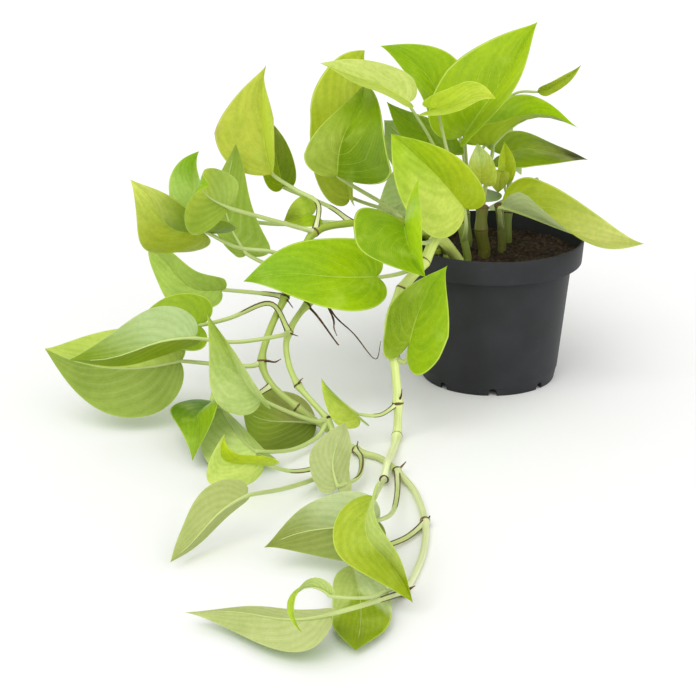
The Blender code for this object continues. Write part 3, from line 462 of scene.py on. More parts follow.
# Aerial roots: the vine, the place on it, the way and the radius.
roots = (
    ("vine_mid", 6, ((318, 317, 70), (336, 342, 76), (339, 345, 77)), 0.8),
    ("vine_mid", 5.5, ((333, 318, 62), (334, 328, 64), (337, 336, 66)), 0.7),
    ("vine_mid", 5.5, ((335, 316, 66), (354, 334, 74), (375, 359, 82), (381, 341, 84)), 0.55),
    ("vine_mid", 7, ((292, 334, 86), (298, 336, 90)), 0.7),
    ("vine_mid", 9, ((300, 381, 110), (303, 378, 111)), 0.7),
    ("vine_mid", 12, (laid(341, 458, 4), laid(346, 453.5, 5)), 0.7),
    ("vine_long", 7, ((288, 301, 80), (293, 308, 84)), 0.7),
    ("vine_long", 9, ((268, 361, 101), (275, 362, 103), (281, 359, 104)), 0.9),
    ("vine_long", 13, (laid(357, 446, 6), laid(358, 441, 8)), 0.7),
    ("vine_long", 15, (laid(401, 469, 5), laid(406, 463, 7)), 0.9),
    ("vine_long", 17, (laid(428, 527, 4), laid(430, 523, 6)), 0.9),
    ("vine_long", 20, (laid(410, 604, 4), laid(415, 601, 5)), 0.9),
    ("vine_front", 8, ((401, 396, 118), (402, 389, 119)), 0.7),
)

# A stem swells toward each node and has a ring on it: how high each is and how far it reaches.
stemShape = {"pieces": 10, "sides": 16, "bulge": 0.7, "reach": 4.0, "ring": 0.28, "ringReach": 1.1,
             "uneven": 0.05, "clearance": 0.3}
rootShape = {"sides": 8, "pieces": 7, "start": 1.15, "thinning": 0.85, "uneven": 0.25,
             "tone": (0.1, 0.05, 0.02)}


def blend(first, second, share):
    return tuple(a + (b - a) * share for a, b in zip(first, second))


def aboveSurface(points, radii):
    for point, radius in zip(points, radii):
        point.z = max(point.z, radius + stemShape["clearance"])
    return points


def startOf(stem, node):
    return smoothCurve(stem["route"], 20)[round(node * 20)]


def makeRoot(shape, stem, node, way, radius):
    path = smoothCurve([startOf(stem, node), *(placed(place) for place in way)], rootShape["pieces"])
    sizes = []
    for step, point in enumerate(path):
        width = rootShape["start"] - rootShape["thinning"] * step / (len(path) - 1)
        sizes.append(radius * width * (1 + rootShape["uneven"] * noise.noise(point * 0.9)))
    addTube(shape, aboveSurface(path, sizes), sizes, rootShape["sides"], lambda share: rootShape["tone"], 1)


def makeStem(name, stem):
    pieces = stemShape["pieces"]
    line = smoothCurve(stem["route"], pieces)
    joints = [line[node * pieces] for node in stem["nodes"]]
    first, last = stem["radii"]
    radii, rings = [], []
    for number, point in enumerate(line):
        taper = number / (len(line) - 1)
        near = min((point - joint).length for joint in joints)
        rings.append(math.exp(-(near / stemShape["ringReach"]) ** 2))
        bulge = stemShape["bulge"] * math.exp(-(near / stemShape["reach"]) ** 2)
        uneven = stemShape["uneven"] * noise.noise(point * 0.11)
        radius = (first + (last - first) * taper) * (1 + uneven)
        radii.append(radius + bulge + stemShape["ring"] * rings[-1])
    line = aboveSurface(line, radii)
    count = len(line) + 3
    shape = newShape()

    def tone(share):
        return blend(*stem["tones"], share ** 2)

    def dried(share, around):
        number = min(max(round(share * count) - 2, 0), len(line) - 1)
        return 0.62 * rings[number] + 0.6 * smoothStep(0.985, 1.0, share)

    def swell(share, around):
        return 1 + 0.04 * math.cos(3 * math.pi * around + 5 * share)

    addTube(shape, line, radii, stemShape["sides"], tone, 0, swell=swell, dried=dried)
    for owner, *values in roots:
        if owner == name:
            makeRoot(shape, stem, *values)
    pieceFrom(shape, pieceName(name), name, stem.get("slot", "stem_green"), ("skin", "root"))


for stemName, stemValues in stems.items():
    makeStem(stemName, stemValues)
print("stems and vines made:", len(stems))

# Leaf tones: the upper side and the underside.
tones = {
    "lime": ((0.30, 0.50, 0.006), (0.44, 0.58, 0.17)),
    "deep": ((0.19, 0.36, 0.002), (0.26, 0.38, 0.05)),
    "young": ((0.50, 0.66, 0.05), (0.54, 0.66, 0.2)),
}


# The tip's own colour is partly painted light and shade, set for how the tip faces the lamps.
def tipped(colour, tip):  # both halves of one colour, and the tip of another
    return colour, colour, tip


# What one leaf is: where it sits, how its blade is bent, the way of its stalk, and its tones. The
# words mean what they mean in the part's source. `dried` is the share of the stalk that has a brown
# sheath along it, and `rim` is how brown the blade's margin is.
# The tones of each leaf hold some painted light and shade, most of all where its halves or its tip have
# tones of their own: these were set to the light and shade of each part as seen, not to the leaf's own
# colour alone.
def leaf(stem, node, joint, tip, width, turn, fold, arch=-18, droop=25, curl=12, twist=0, wave=1.0,
         lobe=1.0, widest=0.2, taper=0.0, skew=0.0, bow=0.0, swerve=0.0, stalk=1.0, way=(),
         tone="lime", top=None, under=None, dried=0.0, rim=0.0):
    return dict(locals())


# Each leaf under its node's name without leaf_.
leaves = {
    "crown_tall": leaf("stem_back", 4, (464.1, 134.7, 4), (537.8, 21.7, -22), 64.4, -45, 38, arch=-15,
        droop=10, curl=6, twist=9, lobe=0.59, widest=0.34, taper=0.41, skew=0.03, bow=-0.05,
        way=((466, 168, -8),), top=((0.36, 0.52, 0), (0.43, 0.6, 0.01))),
    "crown_young": leaf("stem_mid", 4, (438, 108.7, 26), (496.2, 99, 38), 27, -44, 32, arch=-22, droop=3,
        curl=8, twist=6, lobe=1.48, widest=0.37, taper=-0.17, skew=-0.11, bow=0.09, swerve=-0.05,
        stalk=0.8, way=((458, 190, 28), (447, 150, 28)), tone="young",
        top=tipped((0.47, 0.6, 0.02), (0.62, 0.72, 0.07))),
    "crown_long": leaf("stem_mid", 3.5, (408.8, 101.7, 16), (319.7, 63.1, 14), 43, 55, 22, arch=-15,
        droop=16, curl=9, twist=-3, lobe=0.31, widest=0.24, taper=0.03, skew=-0.02, bow=0.03,
        swerve=-0.03, stalk=0.8, way=((450, 196, 16), (435, 148, 12)), tone="young",
        top=((0.52, 0.63, 0.06), (0.65, 0.72, 0.2))),
    "crown_left": leaf("stem_back", 3, (349.6, 198.3, -36), (364.9, 50.3, -62), 44.8, -52, 28, arch=-12,
        droop=69, curl=24, twist=14, wave=2, lobe=0.33, widest=0.5, taper=-0.6, skew=0.25, bow=-0.14,
        way=((412, 215, -28),), top=(0.43, 0.51, 0.02)),
    "crown_folded": leaf("vine_long", 3, (337.4, 175.9, 30), (362.1, 84.6, -16), 58.1, -7, 30, arch=-29,
        droop=56, curl=40, twist=-7, wave=2.4, lobe=0.14, widest=0.12, taper=1.09, skew=-0.27, bow=-0.02,
        swerve=0.04, way=((385, 205, 20),), tone="deep",
        top=((0.32, 0.41, 0.04), (0.16, 0.27, 0), (0.36, 0.54, 0))),
    "crown_inner": leaf("stem_back", 4, (446, 152, -24), (386.5, 101.5, -22), 38, -50, 22, droop=20,
        curl=8, lobe=0.8, widest=0.26, taper=0.3, skew=-0.1, bow=-0.05, tone="deep",
        top=(0.38, 0.58, 0.01)),
    "crown_back": leaf("stem_back", 3.6, (441.9, 109.2, -36), (380.1, 45.9, -48), 43.3, 24, 29, arch=-13,
        droop=26, curl=15, twist=3, widest=0.18, taper=0.14, skew=-0.08, bow=-0.12, swerve=-0.02,
        way=((452, 160, -34),), tone="deep", top=tipped((0.36, 0.54, 0), (0.28, 0.47, 0))),
    "crown_hanging": leaf("stem_mid", 3, (464.1, 208.1, 55), (391.1, 133.7, 59), 49.1, -15, 28, arch=-15,
        droop=31, twist=1, lobe=0.48, widest=0.28, taper=-0.17, skew=0.18, bow=-0.04,
        way=((466, 226, 46),), top=((0.65, 0.75, 0.13), (0.47, 0.58, 0.01), (0.38, 0.55, 0.01))),
    "crown_heart": leaf("vine_front", 3, (404.9, 226.2, 88), (425.4, 276.8, 138), 64, 14, 51, arch=-14,
        droop=29, curl=8, twist=13, lobe=1.48, widest=0.32, taper=-0.42, bow=-0.03,
        way=((424, 243, 64), (411, 238, 76)), top=((0.52, 0.76, 0.01), (0.27, 0.43, 0))),
    "crown_wide": leaf("vine_front", 4, (376.1, 276.7, 66), (243.3, 281.6, 80), 52, 26, 18, arch=-20,
        droop=23, curl=15, twist=-1, lobe=0.38, widest=0.27, taper=0.09, swerve=0.02,
        way=((402, 273, 66),), top=tipped((0.36, 0.55, 0), (0.26, 0.47, 0.01))),
    "right_narrow": leaf("stem_back", 3.75, (538.3, 92.4, -50), (581.3, 64.8, -52), 8.9, 21, 31, droop=21,
        curl=13, lobe=0, widest=0.22, taper=-0.15, bow=-0.05, stalk=0.7,
        way=((484, 146, -42), (510, 97, -50)), tone="young", top=(0.45, 0.53, 0.03)),
    "right_tailed": leaf("stem_thick", 4, (493.4, 143.4, -18), (578.4, 127.8, -34), 49.6, -58, 55,
        arch=-10, droop=21, curl=-13, twist=45, lobe=1.5, widest=0.36, taper=0.6, skew=-0.3, bow=0.23,
        way=((485, 190, 6), (487, 172, 4), (492, 156, -7)), tone="deep",
        top=tipped((0.44, 0.64, 0.01), (0.56, 0.77, 0.01)), under=(0.51, 0.68, 0.03)),
    "right_dark": leaf("stem_rear", 4, (505.5, 153.4, -34), (588.3, 160.1, -44), 39.3, -49, 11, arch=-19,
        droop=26, curl=13, twist=-4, wave=2, lobe=0.95, widest=0.17, taper=0.59, skew=-0.05, swerve=0.05,
        way=((508, 172, -30),), tone="deep", top=tipped((0.29, 0.41, 0), (0.05, 0.05, 0))),
    "right_long": leaf("stem_right", 3, (501.2, 205.5, 25), (644.6, 243.7, 30), 65.2, -71, 38, arch=-7,
        droop=7, curl=-8, twist=49, lobe=0, widest=0.17, taper=0.31, skew=-0.17, bow=-0.1,
        way=((500, 216, 16),), top=tipped((0.34, 0.41, 0.01), (0.64, 0.65, 0.2)),
        under=(0.72, 0.82, 0.41)),
    "right_upright": leaf("stem_rear", 3, (502.7, 176.8, -13), (504.3, 141.1, -10), 14.9, 22, 26,
        droop=26, lobe=0.96, widest=0.21, taper=0.06, bow=-0.02, swerve=-0.02, stalk=0.8,
        way=((507, 196, -17),), top=(0.53, 0.65, 0.02)),
    "inner_small": leaf("stem_thick", 3.7, (481, 180, 16), (477, 143, 14), 20, 10, 24, stalk=0.7,
        tone="young", top=tipped((0.54, 0.59, 0.06), (0.7, 0.79, 0.31))),
    "inner_low": leaf("stem_back", 3, (501, 172, -2), (498, 193, 0), 14, 20, 24, lobe=0.4, stalk=0.7,
        way=((477, 188, -10), (490, 178, -3)), tone="deep", top=(0.53, 0.58, 0.06)),
    "left_upright": leaf("vine_long", 5, (271.6, 174.8, 22), (266.3, 64.7, -8), 63.3, -41, 44, droop=16,
        curl=9, lobe=0, widest=0.42, taper=0.76, skew=-0.04, bow=0.04,
        way=((318, 204, 36), (296, 190, 28)), tone="young", top=((0.53, 0.57, 0.06), (0.62, 0.75, 0.06)),
        dried=0.5, rim=0.5),
    "left_shaded": leaf("vine_long", 4, (282.7, 187.2, -4), (265.6, 116.2, -14), 22.3, 10, 16, droop=24,
        lobe=0.28, widest=0.29, skew=0.04, way=((328, 206, 16),), tone="deep",
        top=((0.33, 0.44, 0), (0.25, 0.34, 0.01), (0.23, 0.27, 0.03)), dried=0.6),
    "left_pale": leaf("vine_long", 6, (246.8, 253.6, 38), (235.9, 143.7, 30), 31.1, 164, 24, arch=-11,
        droop=21, curl=15, lobe=0.2, widest=0.12, taper=-0.26, skew=0.14, bow=-0.17, swerve=-0.02,
        way=((274, 266, 50),), under=(0.34, 0.47, 0.06)),
    "left_cupped": leaf("vine_long", 5, (229.4, 208.1, 84), (209.5, 186, 112), 42.8, 195, 13, arch=-17,
        droop=66, curl=86, twist=13, lobe=0.1, widest=0.25, taper=-0.05, skew=-0.12, bow=-0.07,
        way=((275, 221, 64),), under=((0.45, 0.58, 0.11), (0.37, 0.5, 0.05), (0.71, 0.82, 0.1))),
    "left_bright": leaf("vine_long", 4.15, (192.4, 207.7, 6), (199.4, 151.1, 0), 32.4, -39, 34, droop=27,
        curl=15, widest=0.25, taper=-0.27, skew=-0.03, bow=0.02, swerve=-0.04,
        way=((320, 222, 18), (276, 224, 8), (222, 217, 4)), tone="deep",
        top=tipped((0.44, 0.61, 0.13), (0.27, 0.47, 0.01))),
    "left_far": leaf("vine_long", 6, (202.2, 232.3, 58), (130.2, 179.3, 72), 52.7, -47, 15, arch=-21,
        droop=44, curl=11, twist=3, lobe=1.24, widest=0.24, taper=0.33, skew=0.02, bow=0.06, swerve=0.09,
        way=((272, 252, 62), (236, 247, 60)), tone="young",
        top=((0.47, 0.54, 0.03), (0.22, 0.33, 0.01), (0.72, 0.77, 0.15)), rim=0.42),
    "left_drooping": leaf("vine_long", 7, (220.9, 290.3, 46), (148.2, 248.4, 14), 29.4, -20, 26, arch=-15,
        droop=44, curl=14, twist=1, lobe=0.29, widest=0.27, taper=-0.34, skew=0.07, bow=0.06, swerve=0.06,
        way=((268, 294, 64),), top=(0.43, 0.58, 0.1), dried=0.7),
    "left_hidden": leaf("vine_mid", 7, (198, 325, 84), (140, 318, 80), 38, 20, 16,
        way=((270, 303, 90), (230, 318, 92)), tone="deep", top=(0.31, 0.45, 0.01), dried=0.7),
    "left_wide": leaf("vine_mid", 7, (194.9, 336.7, 116), (68.9, 359.8, 126), 41.8, 140, 36, arch=-15,
        droop=15, curl=8, twist=4, lobe=0.22, widest=0.29, taper=0.16, skew=-0.04, bow=-0.06, swerve=0.04,
        way=((278, 336, 98), (235, 342, 110)),
        under=((0.47, 0.6, 0.26), (0.3, 0.41, 0.01), (0.26, 0.37, 0.02))),
    "left_broad": leaf("vine_long", 9, (180.1, 361.8, 88), (44.6, 348.5, 98), 60.2, 198, 16, droop=27,
        curl=15, lobe=0.23, widest=0.31, taper=0.04, skew=-0.02, bow=-0.08,
        way=((250, 366, 98), (215, 364, 92)), under=((0.6, 0.72, 0.14), (0.32, 0.42, 0.07))),
    "left_small": leaf("vine_long", 4.5, (312, 215, 28), (284, 221, 34), 26, 20, 36, stalk=0.7,
        tone="deep", top=((0.36, 0.52, 0.01), (0.54, 0.67, 0.07), (0.27, 0.34, 0.02))),
    "front_heart": leaf("vine_front", 7, (409.3, 343.4, 112), (447.7, 265.4, 100), 42.4, -26, 18,
        arch=-23, droop=10, twist=11, lobe=1.42, widest=0.28, taper=0.68, skew=-0.16, bow=0.06,
        way=((405, 362, 112),), top=((0.26, 0.38, 0.01), (0.31, 0.48, 0), (0.38, 0.59, 0.01))),
    "front_small": leaf("vine_front", 8, (358.4, 416.1, 127), (321.1, 377.8, 131), 25.1, -52, 44,
        droop=23, curl=11, lobe=0.78, widest=0.21, taper=0.24, skew=-0.05, bow=-0.03, stalk=0.8,
        way=((380, 415, 123),), top=(0.72, 0.82, 0.14), dried=0.8),
    "front_yellow": leaf("vine_front", 12, laid(372.9, 501.7, 44), laid(413, 619.7, 9), 34.3, 35, 30,
        arch=-13, droop=49, curl=8, lobe=0.27, widest=0.21, taper=-0.1, skew=-0.09, bow=-0.06,
        swerve=-0.07, way=(laid(381, 489, 20),), tone="young",
        top=((0.72, 0.82, 0.28), (0.45, 0.54, 0.04), (0.31, 0.4, 0))),
    "low_pointed": leaf("vine_mid", 10, (260.6, 400.8, 143.5), (206.5, 312.9, 140.5), 42.7, -44, 40,
        arch=-19, droop=16, curl=9, lobe=0.34, widest=0.21, taper=0.39, skew=-0.04, bow=-0.02,
        swerve=0.04, way=((314, 421, 126), (286, 411, 136)),
        top=tipped((0.62, 0.73, 0.29), (0.43, 0.54, 0.09))),
    "low_arched": leaf("vine_long", 10, (222.2, 405, 113.5), (192.4, 462.3, 161), 42.5, 45, 27, arch=-19,
        droop=81, curl=10, twist=-1, lobe=0.84, taper=0.29, skew=0.02, bow=-0.02, swerve=-0.08,
        way=((245, 402, 108),), tone="deep", top=((0.28, 0.45, 0), (0.1, 0.22, 0), (0.26, 0.42, 0.01)),
        dried=0.8),
    "low_behind": leaf("vine_mid", 10, laid(256.6, 454.1, 12.5), (211.8, 388.8, 88), 39.8, 223, 22,
        arch=-9, droop=26, lobe=0.44, widest=0.17, taper=0.16, skew=-0.3,
        way=((317, 437, 128), (291, 450, 148)), under=((0.57, 0.72, 0.2), (0.67, 0.82, 0.26))),
    "low_curled": leaf("vine_mid", 11.5, laid(263.7, 467.4, 17), (224.7, 434, 203), 31.1, -22, 30,
        arch=-21, droop=39, curl=38, twist=-1, lobe=0.4, widest=0.31, taper=-0.4, skew=0.11, bow=0.25,
        swerve=-0.1, stalk=0.9, way=((322, 467, 172), (294, 474, 182)), tone="young",
        top=((0.72, 0.82, 0.22), (0.55, 0.67, 0.01)), dried=0.85),
    "low_drooping": leaf("vine_mid", 12, laid(247, 499.2, 27), laid(170.3, 575, 6), 27.9, 142, 39,
        arch=-15, droop=19, curl=8, twist=3, lobe=0.32, widest=0.29, taper=0.04, skew=-0.02, swerve=0.03,
        way=((318, 480, 182), (284, 493, 218)), under=(0.45, 0.51, 0.17)),
    "low_dark": leaf("vine_long", 11, (316.4, 424.7, 106), (243, 409, 109), 52, 236, 4, arch=-23,
        droop=22, curl=11, twist=-17, lobe=0, widest=0.5, taper=-0.6, skew=-0.04, bow=-0.03, swerve=0.03,
        tone="deep", top=(0.17, 0.26, 0.02),
        under=((0.36, 0.38, 0.11), (0.17, 0.23, 0.02), (0.31, 0.42, 0.04))),
    "low_upright": leaf("vine_long", 13, (337.2, 490.7, 205), (344.9, 422.4, 190), 23.1, 188, 18,
        arch=-16, droop=28, curl=14, twist=1, lobe=0.7, widest=0.29, taper=-0.58, skew=-0.12, bow=-0.1,
        swerve=-0.02, way=((362, 461, 168), (358, 480, 190)), under=(0.49, 0.55, 0.23), dried=0.9),
    "end_pale": leaf("vine_long", 15, laid(377.7, 529.2, 26), laid(264, 558.4, 15), 38.7, 202, 9,
        droop=18, curl=10, twist=-1, lobe=0.29, widest=0.27, taper=0.49, bow=0.06, swerve=-0.02,
        way=(laid(397, 500, 9), laid(392, 520, 18)),
        under=((0.52, 0.6, 0.3), (0.3, 0.37, 0.08), (0.3, 0.35, 0.07)), dried=0.7),
    "end_folded": leaf("vine_long", 17, laid(352.5, 578.9, 6.5), laid(355.6, 672.5, 4.5), 28.7, 2, 8,
        arch=-11, droop=-4, curl=-6, twist=-3, lobe=0, widest=0.5, taper=-0.6, skew=0.03, bow=0.04,
        way=(laid(405, 548, 3.2), laid(375, 562, 3.2)),
        top=((0.64, 0.73, 0.36), (0.46, 0.55, 0.14), (0.27, 0.37, 0), (0.54, 0.64)), dried=0.9),
    "end_long": leaf("vine_long", 20, laid(331.8, 634.8, 20), laid(184.7, 630.5, 9), 35.4, 241, 27,
        arch=-19, droop=14, curl=7, twist=-1, lobe=0.08, widest=0.24, taper=0.44, bow=0.03, swerve=-0.04,
        way=(laid(388, 613, 10), laid(364, 622, 22)), under=(0.53, 0.59, 0.23), dried=0.6),
    "end_ribbon": leaf("vine_long", 19.5, laid(330, 610, 36), laid(303, 654, 30), 9, 80, 26, droop=165,
        curl=8, lobe=0.2, stalk=0.7, way=(laid(388, 606, 9), laid(366, 614, 28)), tone="young"),
    "back_pale": leaf("stem_back", 3.2, (426, 156, -56), (384, 120, -72), 40, 185, 12,
        way=(Vector((-24, 34, 122)), Vector((-31, 50, 136)))),
    "back_top": leaf("stem_back", 3.4, Vector((-18, 64, 148)), Vector((-22, 104, 186)), 48, 150, 16,
        droop=20, way=(Vector((-15, 40, 128)),)),
    "back_left": leaf("stem_back", 3, Vector((-46, 62, 106)), Vector((-76, 104, 76)), 46, 175, 16,
        droop=30, way=(Vector((-30, 38, 116)),)),
    "back_middle": leaf("stem_back", 3, Vector((-12, 62, 112)), Vector((-18, 112, 80)), 50, 180, 16,
        droop=30, way=(Vector((-12, 40, 118)),)),
    "back_right": leaf("stem_rear", 3, Vector((21, 64, 104)), Vector((33, 110, 72)), 40, 190, 16,
        droop=30, way=(Vector((18, 42, 107)),)),
    "back_high": leaf("stem_rear", 4, Vector((12, 68, 132)), Vector((22, 112, 142)), 40, 200, 16,
        way=(Vector((15, 48, 126)),)),
}

# The quilt is the swelling between the veins. A leaf's wave and the frill run along its margin, each
# half with a phase of its own.
bladeShape = {"rows": 44, "columns": 28, "thickness": 0.5, "lobeShare": 0.5, "groove": 0.3,
              "grooveWidth": 1.1, "quilt": 0.16, "waves": 4.2, "frill": 0.22, "frills": 17,
              "phases": (1.3, 2.9)}


def bezier(a, b, c, d, t):
    u = 1 - t
    return a * u ** 3 + 3 * b * t * u * u + 3 * c * t * t * u + d * t ** 3


# The margin of a flat leaf of length 1, from the notch at the stalk to the tip.
def marginAt(t, halfWidth, values):
    split, lobe, widest, taper = bladeShape["lobeShare"], values["lobe"], values["widest"], values["taper"]
    if t < split:
        u = t / split
        return bezier(0, -0.24 * lobe, -0.34 * lobe, widest, u), halfWidth * bezier(0, 0.12, 1.02, 1, u)
    u = (t - split) / (1 - split)
    rest = 1 - widest
    return (bezier(widest, widest + 0.525 * rest, widest + 0.8 * rest, 1, u),
            halfWidth * bezier(1, 0.985 - 0.35 * taper, 0.24 - 0.24 * taper, 0, u))


class Blade:
    def __init__(self, values):
        joint, tip = placed(values["joint"]), placed(values["tip"])
        self.values = values
        chord = tip - joint
        along = chord.normalized()
        facing = (toViewer - along * toViewer.dot(along)).normalized()
        turn = math.radians(values["turn"])
        normal = facing * math.cos(turn) + along.cross(facing) * math.sin(turn)
        end = self.midrib(1.0)
        reach = math.hypot(*end)
        self.origin = joint
        self.length = chord.length / reach
        self.halfWidth = values["width"] / 2 / self.length
        self.forward = (along * end[0] - normal * end[1]) / reach
        self.up = (along * end[1] + normal * end[0]) / reach
        self.side = self.up.cross(self.forward)

    def sideWidth(self, sign):
        return self.halfWidth * (1 + self.values["skew"] * sign)

    def pitch(self, x):
        late = max(0.0, (x - 0.6) / 0.4)
        return math.radians(-self.values["droop"] * x - self.values["curl"] * late * late)

    def midrib(self, x):
        steps = 16
        forward = up = 0.0
        for step in range(steps):
            pitch = self.pitch(x * (step + 0.5) / steps)
            forward += math.cos(pitch) * x / steps
            up += math.sin(pitch) * x / steps
        return forward, up

    def point(self, x, y, t=0.5, lift=0.0):
        values = self.values
        forward, up = self.midrib(x)
        pitch = self.pitch(x)
        sign = 1 if y > 0 else -1
        share = min(abs(y) / self.sideWidth(sign), 1.0)
        slope = math.radians(values["fold"] + values["arch"] * share / 2)
        across = abs(y) * math.cos(slope) * sign
        rise = abs(y) * math.sin(slope)
        phase = bladeShape["phases"][0 if y > 0 else 1]
        wave = values["wave"] * share ** 2 * math.sin(bladeShape["waves"] * math.pi * t + phase)
        frill = bladeShape["frill"] * share ** 4 * math.sin(bladeShape["frills"] * t + phase * 3)
        rise += (wave + frill + lift) / self.length
        along = max(x, 0.0)
        across += values["bow"] * math.sin(math.pi * along) + values["swerve"] * math.sin(math.tau * along)
        twist = math.radians(values["twist"]) * x
        across, rise = (across * math.cos(twist) - rise * math.sin(twist),
                        across * math.sin(twist) + rise * math.cos(twist))
        forward -= rise * math.sin(pitch)
        up += rise * math.cos(pitch)
        return self.origin + (self.forward * forward + self.side * across + self.up * up) * self.length


# A side's tone is one colour, or one for its left-hand half, one for the other half and, where there is a
# third, one for its tip; how these differ is partly painted light and shade.
# A fourth item is where along the blade the tip's begins and is full.
def toneAt(tone, uv):
    if not isinstance(tone[0], tuple):
        return tone
    colour = blend(tone[1], tone[0], smoothStep(0.46, 0.54, uv[1]))
    turning = tone[3] if len(tone) > 3 else (0.5, 0.9)
    return blend(colour, tone[2], smoothStep(*turning, uv[0])) if len(tone) > 2 else colour


# The blade is two grids, its upper side and its underside, that meet in a thin margin. The midrib
# is a groove above, and between the lateral veins the blade swells a little.
def addBlade(shape, blade, tone):
    rows, columns = bladeShape["rows"], bladeShape["columns"]
    dry = shape.verts.layers.float["dry"]
    for side, slot in ((1, 0), (-1, 1)):
        verts = bmesh.ops.create_grid(shape, x_segments=rows, y_segments=columns, size=1)["verts"]
        faces = facesOf(verts)
        for vert in verts:
            vert.co.y = math.copysign(abs(vert.co.y) ** 1.4, vert.co.y)
        mapPlane(shape, faces)
        paintFaces(shape, faces, lambda uv: toneAt(tone[slot], uv), slot)
        for vert in verts:
            t, s = (vert.co.x + 1) / 2, vert.co.y
            out = abs(s)
            edgeX, edgeY = marginAt(t, blade.sideWidth(1 if s > 0 else -1), blade.values)
            rib = t ** 2.2
            fromRib = edgeY * out * blade.length
            groove = math.exp(-(fromRib / bladeShape["grooveWidth"]) ** 2) * (1 if side > 0 else 0.2)
            quilt = math.cos(math.tau * veinCount(t, out)) * min(1.0, 4 * out * (1 - out))
            body = (1 - out ** 6) * (1 - abs(2 * t - 1) ** 8)  # nothing at the margin and the ends
            lift = body * (side * bladeShape["thickness"] / 2 - bladeShape["groove"] * groove
                           - bladeShape["quilt"] * quilt)
            vert[dry] = blade.values["rim"] * max(smoothStep(0.7, 1, out), smoothStep(0.86, 1, t))
            vert.co = blade.point(rib + (edgeX - rib) * out, edgeY * s, t, lift) * mm
        if side < 0:
            bmesh.ops.reverse_faces(shape, faces=faces)
    bmesh.ops.remove_doubles(shape, verts=shape.verts, dist=1e-6)
    bmesh.ops.dissolve_degenerate(shape, dist=1e-7, edges=shape.edges)


# `under` gives places along the blade, in its length, with the depth of the stalk's line below them, and
# `keel` the places where it runs on as the midrib. The edges of its groove are `wings`, and stand out
# where the sheath is dry.
stalkShape = {"foot": 1.5, "joint": 1.15, "rings": 26, "sides": 12, "flare": 0.5, "flareReach": 5.0,
              "tone": (0.56, 0.66, 0.24), "under": ((0, 1.3), (0.12, 0.95), (0.28, 0.62)),
              "keel": (0.05, 0.11, 0.18, 0.26, 0.36, 0.48, 0.6, 0.72, 0.84), "groove": 0.14,
              "wings": 0.06, "sheathWings": 0.3, "wingPlace": 0.36, "wingWidth": 0.12}


# The line of the stalk and its radii: it leaves its stem, follows its way and runs on under the
# midrib, thinner and thinner.
def stalkLine(blade, values):
    start = startOf(stems[values["stem"]], values["node"])
    under = [blade.point(x, 0, lift=-depth) for x, depth in stalkShape["under"]]
    way = [placed(place) for place in values["way"]]
    if not way:
        ahead = under[0] - start
        way = [start + ahead * 0.45 + (blade.forward * 0.5 - blade.up) * ahead.length * 0.06]
    path = smoothCurve([start, *way, *under], 12)
    joint = path.index(min(path, key=lambda point: (point - under[0]).length))
    rings = stalkShape["rings"]
    line, radii = [], []
    for step in range(rings + 1):
        share = step / rings
        place = joint * share
        low = min(int(place), joint - 1)
        line.append(path[low].lerp(path[low + 1], place - low))
        away = (line[-1] - start).length / stalkShape["flareReach"]
        radii.append(stalkShape["foot"] + (stalkShape["joint"] - stalkShape["foot"]) * share
                     + stalkShape["flare"] * math.exp(-away ** 2))
    for x in stalkShape["keel"]:
        radii.append(0.16 + 0.86 * (1 - x) ** 2)
        line.append(blade.point(x, 0, lift=-radii[-1] * 1.05))
    return line, [radius * values["stalk"] for radius in radii]


def addStalk(shape, blade, values):
    line, radii = stalkLine(blade, values)
    stalkEnd = stalkShape["rings"] / (len(line) + 3)
    sheath = values["dried"] * stalkEnd
    foot = stems[values["stem"]]["tones"][1]

    def wings(around):
        return math.exp(-((abs(around) - stalkShape["wingPlace"]) / stalkShape["wingWidth"]) ** 2)

    def tone(share):
        return blend(foot, stalkShape["tone"], smoothStep(0, 0.3, share))

    def swell(share, around):
        if share > stalkEnd:
            return 1.0
        fade = 1 - smoothStep(sheath * 0.8, sheath + 0.02, share)
        groove = stalkShape["groove"] * math.exp(-(around / 0.2) ** 2)
        return 1 - groove + wings(around) * (stalkShape["wings"] + stalkShape["sheathWings"] * fade)

    def dried(share, around):
        fade = 1 - smoothStep(sheath * 0.85, sheath + 0.01, share)
        return 1.1 * wings(around) * fade if sheath else 0.0

    hint = toViewer if sheath else blade.up
    addTube(shape, line, radii, stalkShape["sides"], tone, 2, hint=hint, swell=swell, dried=dried)


def makeLeaf(name, values):
    blade = Blade(values)
    top, under = tones[values["tone"]]
    shape = newShape()
    addBlade(shape, blade, (values["top"] or top, values["under"] or under))
    addStalk(shape, blade, values)
    node = "leaf_" + name
    pieceFrom(shape, pieceName(node), node, "leaf_" + values["tone"], ("top", "under", "skin"))


for leafName, leafValues in leaves.items():
    makeLeaf(leafName, leafValues)
print("leaves made:", len(leaves))

# The pot: the part's sizes, with a rounded rim and foot, drain slots and the shallow panels round
# them. The ledge under the rim and the flare inside the foot are differences of radius, and the step
# above the foot is one of radius and height. `rounding` gives points of the outline with their bevels.
potShape = {"rimRadius": 60.0, "rimHeight": 15.5, "height": 94.8, "shoulderRadius": 52.4,
            "footRadius": 43.6, "footHeight": 8.0, "taperRadius": 45.3, "wall": 1.3, "floor": 5.0,
            "hub": (9, 10), "ledge": 1.2, "flare": 0.6, "step": (0.25, 0.3), "steps": 128,
            "rounding": ((5, 0.3), (9, 0.5), (10, 0.45), (11, 0.4)), "sharp": 35,
            "slots": {"count": 8, "width": 5.2, "height": 4.6, "inner": 38, "depth": 12},
            "panels": {"count": 4, "width": 19.0, "height": 5.0, "inner": 43.5, "depth": 8}}


